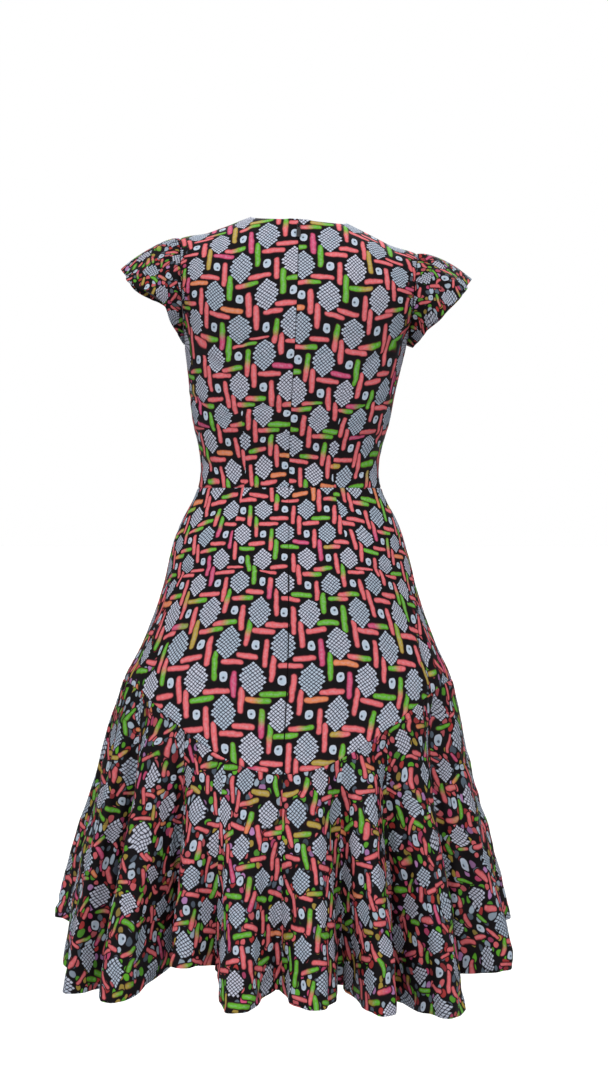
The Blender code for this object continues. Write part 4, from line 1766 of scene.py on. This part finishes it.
@dataclass
class Wardrobe:
    """What every sewn piece shares: the form, the two sides of the cloth, the pitch."""

    form: DressForm
    right_side: bpy.types.Material
    wrong_side: bpy.types.Material
    pitch: float = 0.0034
    gap: float = 0.00003
    allowance: float = 0.011
    hem: float = 0.009
    seam_depth: float = 0.0013
    seam_radius: float = 0.0026
    waist_depth: float = 0.00156
    waist_radius: float = 0.00338
    flounce_depth: float = 0.00117
    waist_pucker: tuple[float, float, float] = (0.00055, 0.013, 0.016)
    dart_depth: float = 0.0007
    side_pucker: float = 0.00030
    zip_swell: float = 0.0012
    zip_foot: float = -0.520
    parting_reach: float = 0.010

    def columns(self, length: float, share: float) -> tuple[Array, int]:
        """Shares of a half's width for its columns, and which column a dart lies on."""
        shares = spaced(length, self.pitch, (share,))
        return shares, int(np.argmin(np.abs(shares - share)))

    def turned(self, low: float, high: float) -> dict[Edge, float]:
        """Widths turned in at the foot, at the sides and at the head of a piece."""
        return {
            Edge.LOW: low,
            Edge.FIRST: self.allowance,
            Edge.LAST: self.allowance,
            Edge.HIGH: high,
        }

    def sew_sides(self, cloth: Cloth, length: float, reach: float, seed: int) -> None:
        """Puckers and rolls in a piece's upright edges.

        Args:
            cloth: the cloth.
            length: the puckers' usual length.
            reach: how far they reach into the cloth.
            seed: their chance seed.
        """
        for edge in (Edge.FIRST, Edge.LAST):
            cloth.pucker(edge, self.side_pucker, length, reach, seed)
            cloth.roll_in(edge, self.seam_depth, self.seam_radius)

    def lay_zip(self, cloth: Cloth, centre: Edge, parting: Array) -> None:
        """Raises the cloth where the zip lies under it, parts it at the seam, and marks
        the seam for its painted shade line.

        Args:
            cloth: the cloth.
            centre: its edge at the centre back.
            parting: how far this edge is drawn back at each row.
        """
        height = ease((cloth.flat[..., 1] - self.zip_foot) / 0.04)
        beside = ease(1.7 - cloth.distance(centre) / 0.014)
        cloth.push(self.zip_swell * height * beside)
        cloth.part(centre, parting, self.parting_reach)
        cloth.zipped = centre

    def dress_piece(
        self,
        name: str,
        cloth: Cloth,
        places: Array,
        turned: dict[Edge, float],
    ) -> bpy.types.Object:
        """Makes a sewn piece of its cloth and puts it in place of its solid.

        Args:
            name: the piece's and the solid's name.
            cloth: the cloth in its final shape.
            places: its places on the print, from the cut's own place.
            turned: the width turned in at each edge.

        Returns:
            The piece.
        """
        flat_size, area, place = CUTS[name]
        places = places + np.array(place)
        shells = Shells()
        columns = np.arange(cloth.points.shape[1] - 1)
        shells.add(
            cloth.points,
            places,
            cloth.state(),
            shells.thickness,
            Side.WRONG,
            cloth.dart_shift(columns),
        )
        for edge, width in turned.items():
            shells.turn_in(cloth, edge, width, places)
        piece = shells.build(name + "_cloth", (self.right_side, self.wrong_side))
        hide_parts(name)
        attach(piece, BODY)
        log.info("%s: %d faces", piece.name, len(piece.data.polygons))
        return piece


# --------------------------------------------------------------------- sewn pieces


@dataclass
class Bodice:
    """Two back bodices and a front, sewn at the sides and shoulders."""

    room: Wardrobe
    dart: Dart = Dart(0.311, -0.235, -0.379, 0.020)
    front_dart: Dart = Dart(0.42, -0.262, -0.379, 0.026)
    parting: float = 0.0010
    parting_rises: tuple[float, ...] = (0.0, 0.75, 0.86, 0.95, 0.993, 1.0)
    parting_shares: tuple[float, ...] = (0.68, 0.68, 0.75, 1.0, 1.0, 0.55)
    side_width: float = 0.22
    quarter: float = 0.225
    creases: tuple[Crease, ...] = (
        Crease(-0.052, -0.178, 0.085, 14, 0.0017, 0.0050, 0.009),
        Crease(-0.118, -0.205, 0.070, -28, 0.0018, 0.0060, 0.006),
        Crease(-0.038, -0.270, 0.120, 2, 0.0015, 0.0045, 0.008),
        Crease(-0.024, -0.308, 0.050, 14, 0.0011, 0.0036, 0.006),
        Crease(-0.150, -0.262, 0.080, -18, 0.0022, 0.0055, 0.008),
        Crease(-0.138, -0.306, 0.075, 12, 0.0023, 0.0052, 0.007),
        Crease(-0.126, -0.350, 0.070, -6, 0.0018, 0.0046, 0.006),
        Crease(0.120, -0.200, 0.075, 30, 0.0018, 0.0060, 0.006),
        Crease(0.048, -0.266, 0.055, -14, 0.0010, 0.0040, 0.006),
        Crease(0.112, -0.268, 0.075, 14, 0.0019, 0.0050, 0.007),
        Crease(0.122, -0.316, 0.080, -9, 0.0022, 0.0052, 0.007),
        Crease(0.110, -0.358, 0.065, 5, 0.0017, 0.0046, 0.006),
    )
    front_creases: tuple[Crease, ...] = (
        Crease(-0.130, -0.205, 0.085, -30, 0.0020, 0.0065, 0.006),
        Crease(-0.060, -0.318, 0.080, 9, 0.0014, 0.0050, 0.005),
        Crease(-0.135, -0.330, 0.080, 12, 0.0019, 0.0055, 0.006),
        Crease(0.020, -0.346, 0.070, -6, 0.0012, 0.0048, 0.004),
        Crease(0.128, -0.210, 0.080, 28, 0.0019, 0.0060, 0.006),
        Crease(0.138, -0.322, 0.085, -11, 0.0020, 0.0055, 0.006),
    )

    def half(self, back: bool, left: bool, share: Array) -> tuple[Array, Array]:
        """One half of the back or front.

        Args:
            back: the back or the front.
            left: the wearer's left or right.
            share: the shares of its width that its columns are at.

        Returns:
            Its points from the centre outwards, rows upwards, and the rows' heights
            at the centre.
        """
        form = self.room.form
        lower = spaced(form.underarm_z - form.waist_z, self.room.pitch)
        lower = lower[lower < 0.985]
        upper = spaced(0.175, self.room.pitch)
        upper = upper[(upper == 0) | (upper > 0.03)]
        z = form.waist_z + (form.underarm_z - form.waist_z) * lower[:-1, None]
        angle = (90 if back else 270) + (-90 if left == back else 90) * share[None]
        low = form.ring(angle, z)
        high = form.yoke(back, share[None], upper[:, None], left)
        heights = np.concatenate([z[:, 0], high[:, 0, 2]])
        return np.concatenate([low, high]), heights

    def shape(self, cloth: Cloth, seed: int) -> None:
        """Gives a bodice piece its unevenness, puckers and rolled seams."""
        room = self.room
        cloth.waver(0.0011, seed, tuple(Edge))
        cloth.pucker(Edge.LOW, *room.waist_pucker, seed + 1)
        room.sew_sides(cloth, 0.016, 0.011, seed + 2)
        cloth.roll_in(Edge.LOW, room.waist_depth, room.waist_radius)
        cloth.roll_in(Edge.HIGH, 0.0006, 0.0012)

    def back_piece(self, left: bool) -> bpy.types.Object:
        """One back bodice, with its waist dart and the zip's parting."""
        room, form = self.room, self.room.form
        share, dart_column = room.columns(self.quarter, self.dart.share)
        points, heights = self.half(True, left, share)
        height = -form.nape_drop - form.underarm_z
        rise = np.clip((heights - form.underarm_z) / height, 0, 1)
        origin = 0
        if left:
            points = points[:, ::-1]
            origin = points.shape[1] - 1
            dart_column = origin - dart_column
        centre, side = (Edge.LAST, Edge.FIRST) if left else (Edge.FIRST, Edge.LAST)
        cloth = Cloth(points)
        cloth.lay_flat(origin, form.waist_z)
        cloth.crease(self.creases, (side, Edge.LOW, Edge.HIGH))
        cloth.sew_dart(dart_column, self.dart.taken(heights), room.dart_depth)
        self.shape(cloth, 11 if left else 23)
        parting = np.interp(rise, self.parting_rises, self.parting_shares)
        room.lay_zip(cloth, centre, parting * self.parting)
        cloth.close_gap(room.gap)
        cloth.loosen(0.62, self.side_width, 0.62, 0.3)
        name = "bodice_back_left" if left else "bodice_back_right"
        places = scaled_flat(cloth.flat + cloth.shift)
        return room.dress_piece(name, cloth, places, room.turned(0.010, 0.008))

    def front_piece(self) -> bpy.types.Object:
        """The front bodice, in one across the centre front."""
        room = self.room
        share, place = room.columns(self.quarter, self.front_dart.share)
        right, heights = self.half(False, False, share)
        left, _ = self.half(False, True, share)
        cloth = Cloth(np.concatenate([right[:, ::-1], left[:, 1:]], axis=1))
        middle = right.shape[1] - 1
        cloth.lay_flat(middle, room.form.waist_z)
        cloth.crease(self.front_creases, tuple(Edge))
        intake = self.front_dart.taken(heights)
        for dart_column in (middle - place, middle + place):
            cloth.sew_dart(dart_column, intake, room.dart_depth)
        self.shape(cloth, 37)
        cloth.close_gap(room.gap)
        cloth.loosen(0.5, self.side_width, 0.68, 0.3)
        places = scaled_flat(cloth.flat + cloth.shift)
        turned = room.turned(0.010, 0.008)
        return room.dress_piece("bodice_front", cloth, places, turned)

    def build(self) -> None:
        """Builds the three pieces."""
        self.back_piece(True)
        self.back_piece(False)
        self.front_piece()


@dataclass
class Sleeve:
    """A flutter sleeve, softly gathered at its head."""

    room: Wardrobe
    left: bool
    first_rise: float = 0.05
    half_length: float = 0.175
    length: float = 0.085
    gathers: float = 0.0016
    gather_length: float = 0.0095
    print_scale: tuple[float, float] = (1.35, 1.35)

    def build(self) -> bpy.types.Object:
        """The sleeve."""
        room = self.room
        upward = spaced(self.half_length, 0.0026)
        rise = self.first_rise + (1 - self.first_rise) * upward
        rise = np.concatenate([-rise[:-1], rise[::-1]])
        share = spaced(self.length, 0.0030)[::-1]
        grid_rise = np.broadcast_to(rise, (len(share), len(rise)))
        grid_share = np.broadcast_to(share[:, None], grid_rise.shape)
        points = room.form.sleeve(grid_share, grid_rise, self.left)
        if not self.left:
            points = points[:, ::-1]
        cloth = Cloth(points)
        cloth.origin = points.shape[1] // 2
        cloth.lay_strip(0.5, 0.0)
        cloth.waver(0.0014, 51 if self.left else 67, (Edge.HIGH,))
        self.gather(cloth)
        cloth.roll_in(Edge.HIGH, 0.0010, 0.0022)
        cloth.roll_in(Edge.LOW, 0.0005, 0.0012)
        cloth.close_gap(0.00012)
        cloth.loose[:] = 0.80
        places = cloth.print_places(self.print_scale, 34 if self.left else -28)
        name = "sleeve_left" if self.left else "sleeve_right"
        turned = {Edge.LOW: 0.006, Edge.HIGH: 0.007}
        return room.dress_piece(name, cloth, places, turned)

    def gather(self, cloth: Cloth) -> None:
        """Gathers the sleeve head: ridges that run from the seam and die away."""
        away = cloth.distance(Edge.HIGH)
        run = along(cloth.points, 1)
        run = run - run[:, cloth.origin : cloth.origin + 1]
        chance = np.random.default_rng(7 if self.left else 9)
        phase = chance.uniform(0, 6, 3)
        bent = run + 0.0016 * np.sin(run / 0.011 + phase[0])
        ridge = np.sin(2 * pi * bent / self.gather_length + phase[1])
        ridge += 0.5 * np.sin(2 * pi * bent / (self.gather_length * 1.7) + phase[2])
        near_tip = hump(run, 0.075)
        fade = np.exp(-((away / 0.024) ** 1.4))
        slow = hump(away, 0.060) * 0.5
        long_ridge = np.sin(2 * pi * run / 0.034 + phase[0])
        cloth.push(self.gathers * near_tip * (ridge * fade + long_ridge * slow))


@dataclass
class Skirt:
    """Two back skirts and a front, sewn at the waist, the sides and the flounce."""

    room: Wardrobe
    dart: Dart = Dart(0.311, -0.470, -0.379, 0.022)
    quarter: float = 0.27
    length: float = 0.30
    parting: float = 0.00058
    side_width: float = 0.26
    creases: tuple[Crease, ...] = (
        Crease(-0.046, -0.492, 0.085, -16, 0.0018, 0.0050, 0.008),
        Crease(0.044, -0.531, 0.045, 18, 0.0013, 0.0042, 0.006),
        Crease(0.130, -0.492, 0.080, -16, 0.0021, 0.0055, 0.007),
        Crease(-0.165, -0.497, 0.100, 24, 0.0022, 0.0058, 0.007),
        Crease(-0.010, -0.400, 0.060, 4, 0.0010, 0.0040, 0.004),
        Crease(0.090, -0.404, 0.060, -8, 0.0013, 0.0045, 0.004),
        Crease(-0.110, -0.408, 0.070, 10, 0.0014, 0.0045, 0.004),
        Crease(-0.190, -0.590, 0.110, 62, 0.0030, 0.0090, 0.004),
        Crease(0.205, -0.585, 0.110, -64, 0.0030, 0.0090, 0.004),
    )
    front_creases: tuple[Crease, ...] = (
        Crease(-0.040, -0.470, 0.110, 9, 0.0020, 0.0065, 0.005),
        Crease(0.075, -0.455, 0.090, -12, 0.0018, 0.0060, 0.005),
        Crease(-0.150, -0.520, 0.110, 32, 0.0024, 0.0070, 0.005),
        Crease(0.160, -0.515, 0.110, -30, 0.0024, 0.0070, 0.005),
    )

    def grid(self, panel: Panel, share: Array) -> tuple[Array, Array]:
        """A panel's points.

        Args:
            panel: the panel.
            share: shares of a quarter for its columns, from the centre outwards.

        Returns:
            The points, rows upwards, and the share of each row from the seam up.
        """
        form = self.room.form
        if panel.front:
            out = 270 + 90 * share
            angles = np.concatenate([(540 - out)[::-1], out[1:]])
        elif panel.centre is Edge.LAST:
            angles = (90 - 90 * share)[::-1]
        else:
            angles = 90 + 90 * share
        up = spaced(self.length, self.room.pitch)
        bottom = form.seam_z(angles)[None]
        z = bottom + (form.waist_z - bottom) * up[:, None]
        return form.ring(angles[None], z), up

    def panel(self, panel: Panel) -> bpy.types.Object:
        """One panel of the skirt."""
        room, form, front = self.room, self.room.form, panel.front
        share, place = room.columns(self.quarter, self.dart.share)
        points, up = self.grid(panel, share)
        cloth = Cloth(points)
        count = points.shape[1]
        origin = panel.middle(count)
        cloth.lay_flat(origin, form.waist_z)
        cloth.flat[..., 1] -= cloth.flat[-1:, origin : origin + 1, 1] - form.waist_z
        creases = self.front_creases if front else self.creases
        open_edge = None if front else panel.centre
        cloth.crease(creases, [edge for edge in Edge if edge is not open_edge])
        length = form.waist_z - form.seam_z(np.array(270.0 if front else 90.0))
        heights = form.waist_z - length * (1 - up)
        for dart_column in {origin - place, origin + place}:
            if 0 < dart_column < count - 1:
                cloth.sew_dart(dart_column, self.dart.taken(heights), room.dart_depth)
        seed = 71 + panel.first
        cloth.waver(0.0013, seed, tuple(Edge))
        cloth.pucker(Edge.HIGH, *room.waist_pucker, seed + 1)
        cloth.pucker(Edge.LOW, 0.00040, 0.014, 0.014, seed + 2)
        room.sew_sides(cloth, 0.016, 0.011, seed + 3)
        cloth.roll_in(Edge.HIGH, room.waist_depth, room.waist_radius)
        cloth.roll_in(Edge.LOW, room.flounce_depth, room.seam_radius)
        if not front:
            parting = self.parting * ease((heights - room.zip_foot) / 0.02)
            room.lay_zip(cloth, panel.centre, parting)
        cloth.close_gap(room.gap)
        cloth.loosen(0.6, self.side_width, 0.62, 0.34)
        places = scaled_flat(cloth.flat + cloth.shift)
        name = f"skirt_{panel.name}"
        return room.dress_piece(name, cloth, places, room.turned(0.010, 0.010))

    def build(self) -> None:
        """Builds the three panels."""
        for panel in PANELS:
            self.panel(panel)


@dataclass
class Flounce:
    """The flounce in two backs and a front, with its deep folds and narrow hem."""

    room: Wardrobe
    quarter: float = 0.56
    drop: float = 0.36
    pitch: float = 0.0044
    gathers: float = 0.0013
    gather_length: float = 0.0125
    ripple: float = 0.030
    ripple_lengths: tuple[float, ...] = (0.061, 0.043, 0.029)
    curl: float = 0.0016
    curl_lengths: tuple[float, float] = (0.083, 0.047)
    print_scale: tuple[float, float] = (1.10, 1.00)
    sewn: tuple[Edge, ...] = (Edge.FIRST, Edge.LAST, Edge.HIGH)

    def columns(self, panel: Panel) -> Array:
        """Angles of the columns, evenly spread over the cloth at the hem and seam."""
        form = self.room.form
        quarters = (panel.last - panel.first) // 90
        angles = np.linspace(panel.first, panel.last, 1500 * quarters + 1)
        spread = np.linspace(0, 1, len(angles))
        for down in (0.5, 1.0):
            row = form.flounce(angles, np.full(len(angles), down))
            run = along(row[None], 1)[0]
            spread = spread + run / run[-1]
        share = spaced(self.quarter * quarters, self.pitch)
        return np.interp(share, spread / spread[-1], angles)

    def panel(self, panel: Panel) -> bpy.types.Object:
        """One panel of the flounce."""
        room, form = self.room, self.room.form
        angles = self.columns(panel)
        up = spaced(self.drop, self.pitch)
        down = 1 - up[:, None]
        grid_angle = np.broadcast_to(angles, (len(up), len(angles)))
        cloth = Cloth(form.flounce(grid_angle, np.broadcast_to(down, grid_angle.shape)))
        turn = np.radians(grid_angle)
        cloth.lead = np.stack([np.cos(turn), np.sin(turn), 0 * turn], -1)
        cloth.origin = panel.middle(len(angles))
        inner = [fold for fold in FOLDS if panel.first < fold.angle < panel.last]
        ridges, valleys = (
            [
                int(np.argmin(np.abs(angles - fold.angle)))
                for fold in inner
                if (fold.push > 0) is ridge
            ]
            for ridge in (True, False)
        )
        valleys = [valley for valley in valleys if ridges[0] < valley < ridges[-1]]
        height = form.seam_z(angles)[None]
        cloth.lay_folded(height, ridges, valleys, self.print_scale[0])
        seed = 131 + panel.first
        cloth.waver(0.0020, seed, self.sewn)
        self.gather(cloth, angles, seed)
        self.turn_hem(cloth, seed)
        self.slacken(cloth, down, seed)
        room.sew_sides(cloth, 0.018, 0.012, seed + 3)
        cloth.roll_in(Edge.HIGH, room.flounce_depth, room.seam_radius)
        cloth.roll_in(Edge.LOW, 0.0005, 0.0014)
        cloth.close_gap(room.gap)
        # loose towards the sides, which also darkens the print there as painted shade
        aside = np.abs(angles - (270.0 if panel.front else 90.0)) / 90
        loose = 0.30 + 0.62 * ease((aside[None] - 0.12) / 0.35) * (1 - 0.35 * down)
        cloth.loose = np.broadcast_to(loose, grid_angle.shape).copy()
        places = cloth.print_places(self.print_scale, 0)
        name = f"flounce_{panel.name}"
        return room.dress_piece(name, cloth, places, room.turned(room.hem, 0.010))

    def gather(self, cloth: Cloth, angles: Array, seed: int) -> None:
        """Small gathers below the seam, more of them towards the sides."""
        away = cloth.distance(Edge.HIGH)
        run = along(cloth.points, 1)
        chance = np.random.default_rng(seed + 9)
        phase = chance.uniform(0, 6, 3)
        bent = run + 0.0022 * np.sin(run / 0.014 + phase[0])
        wave = np.sin(2 * pi * bent / self.gather_length + phase[1])
        wave += 0.6 * np.sin(2 * pi * bent / (self.gather_length * 1.9) + phase[2])
        side = 0.35 + 0.65 * np.cos(np.radians(angles))[None] ** 2
        fade = np.exp(-((away / 0.030) ** 1.3))
        start = cloth.free((Edge.HIGH,), 0.004) * cloth.free((Edge.FIRST, Edge.LAST))
        cloth.push(self.gathers * wave * side * fade * start)

    def slacken(self, cloth: Cloth, down: Array, seed: int) -> None:
        """Small slack folds on the big ones, growing towards the hem."""
        chance = np.random.default_rng(seed + 7)
        rise = cloth.flat[..., 1]
        run = np.broadcast_to(along(cloth.points[:1], 1), rise.shape)
        total = np.zeros_like(rise)
        for length in self.ripple_lengths:
            bent = run + 0.10 * rise * chance.uniform(-1, 1)
            bent = bent + 0.006 * np.sin(rise / 0.045 + chance.uniform(0, 6))
            total += np.sin(2 * pi * bent / length + chance.uniform(0, 6)) * length
        cloth.push(total * self.ripple * down**0.7 * cloth.free(self.sewn))

    def turn_hem(self, cloth: Cloth, seed: int) -> None:
        """Lets the hem turn a little in and out along its run."""
        away = cloth.distance(Edge.LOW)
        run = along(cloth.points, 1)
        chance = np.random.default_rng(seed + 5)
        phase = chance.uniform(0, 6, 3)
        long, short = self.curl_lengths
        wave = np.sin(2 * pi * run / long + phase[0])
        wave += 0.7 * np.sin(2 * pi * run / short + phase[1])
        fade = np.exp(-((away / 0.035) ** 1.5)) * cloth.free(self.sewn)
        cloth.push(self.curl * wave * fade)

    def build(self) -> None:
        """Builds the three panels."""
        for panel in PANELS:
            self.panel(panel)


@dataclass
class Zip:
    """The concealed zip. Its solids stay, dressed in their own finishes."""

    tape: ZipTapeFinish = ZipTapeFinish()
    metal: LacquerFinish = LacquerFinish()

    def build(self) -> None:
        """Dresses the tapes, the slider and the pull tab."""
        tape = self.tape.material()
        metal = self.metal.material()
        finishes = {
            "zip_tape_left": tape,
            "zip_tape_right": tape,
            "zip_slider": metal,
            "zip_pull": metal,
        }
        for name, material in finishes.items():
            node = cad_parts[name]
            for slot in node.material_slots:
                slot.material = material
            log.info("%s dressed in %s", name, material.name)


# -------------------------------------------------------------------------- studio


@dataclass(frozen=True)
class Lamp:
    """A distant soft lamp: where it stands round the dress, how high, and its power."""

    name: str
    azimuth: float
    height: float
    power: float
    softness: float
    tone: Colour = (1.0, 1.0, 1.0)


@dataclass
class Studio:
    """A pale floor, soft lamps and the camera behind the dress."""

    floor_z: float = -1.47
    floor_half: float = 40.0
    camera_place: tuple[float, float, float] = (-0.007, 2.65, -0.396)
    camera_tip: float = -1.21
    long_half_angle: float = 15.92
    sensor: float = 36.0
    lamps: tuple[Lamp, ...] = (
        Lamp("key", 84.0, 42.0, 3.75, 155.0, (1.0, 0.985, 0.965)),
        Lamp("fill", 262.0, 44.0, 2.0, 40.0, (0.97, 0.985, 1.0)),
    )
    backdrop: Colour = (1.0, 1.0, 1.0)
    surround: Colour = (0.97, 0.985, 1.0)
    surround_strength: float = 0.08

    def floor(self) -> None:
        """A plain pale floor."""
        half = self.floor_half
        mesh = bpy.data.meshes.new("floor")
        corners = [(-half, -half), (half, -half), (half, half), (-half, half)]
        mesh.from_pydata([(x, y, self.floor_z) for x, y in corners], [], [(0, 1, 2, 3)])
        board = Board("pale_floor")
        grain, _, _ = board.noise(board.place(), 0.4, 3.0)
        tone = board.mix(grain, linear("F4F4F3"), linear("F8F8F7"))
        mesh.materials.append(board.finish(Base_Color=tone, Roughness=0.9))
        floor = bpy.data.objects.new("floor", mesh)
        floor.visible_diffuse = False
        bpy.context.scene.collection.objects.link(floor)

    def light(self) -> None:
        """Soft lamps and an even surround that shows white."""
        for lamp in self.lamps:
            data = bpy.data.lights.new(lamp.name, "SUN")
            data.energy = lamp.power
            data.angle = radians(lamp.softness)
            data.color = lamp.tone
            holder = bpy.data.objects.new(lamp.name, data)
            level = cos(radians(lamp.height))
            way = Vector(
                (
                    level * cos(radians(lamp.azimuth)),
                    level * sin(radians(lamp.azimuth)),
                    sin(radians(lamp.height)),
                )
            )
            holder.location = way * 4
            holder.rotation_euler = way.to_track_quat("Z", "Y").to_euler()
            bpy.context.scene.collection.objects.link(holder)
        world = bpy.data.worlds.new("surround")
        world.use_nodes = True
        tree = world.node_tree
        even = tree.nodes["Background"]
        even.inputs["Color"].default_value = (*self.surround, 1.0)
        even.inputs["Strength"].default_value = self.surround_strength
        white = tree.nodes.new("ShaderNodeBackground")
        white.inputs["Color"].default_value = (*self.backdrop, 1.0)
        seen = tree.nodes.new("ShaderNodeLightPath")
        both = tree.nodes.new("ShaderNodeMixShader")
        tree.links.new(seen.outputs["Is Camera Ray"], both.inputs[0])
        tree.links.new(even.outputs[0], both.inputs[1])
        tree.links.new(white.outputs[0], both.inputs[2])
        tree.links.new(both.outputs[0], tree.nodes["World Output"].inputs["Surface"])
        bpy.context.scene.world = world
        bpy.context.scene.view_settings.view_transform = "Standard"

    def camera(self) -> None:
        """The camera, level behind the dress."""
        lens = bpy.data.cameras.new("camera")
        lens.sensor_width = self.sensor
        lens.lens = self.sensor / 2 / tan(radians(self.long_half_angle))
        holder = bpy.data.objects.new("camera", lens)
        holder.location = self.camera_place
        holder.rotation_euler = (radians(90 + self.camera_tip), 0, radians(180))
        bpy.context.scene.collection.objects.link(holder)
        bpy.context.scene.camera = holder

    def build(self) -> None:
        """Builds the studio."""
        self.floor()
        self.light()
        self.camera()


def main() -> None:
    """Builds the studio and the dress."""
    logging.basicConfig(level=logging.INFO, format="%(name)s: %(message)s")
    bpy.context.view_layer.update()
    Studio().build()
    wax = WaxPrint()
    room = Wardrobe(DressForm(), wax.right_side(), wax.wrong_side())
    Bodice(room).build()
    for left in (True, False):
        Sleeve(room, left).build()
    Skirt(room).build()
    Flounce(room).build()
    Zip().build()


if __name__ == "__main__":
    main()
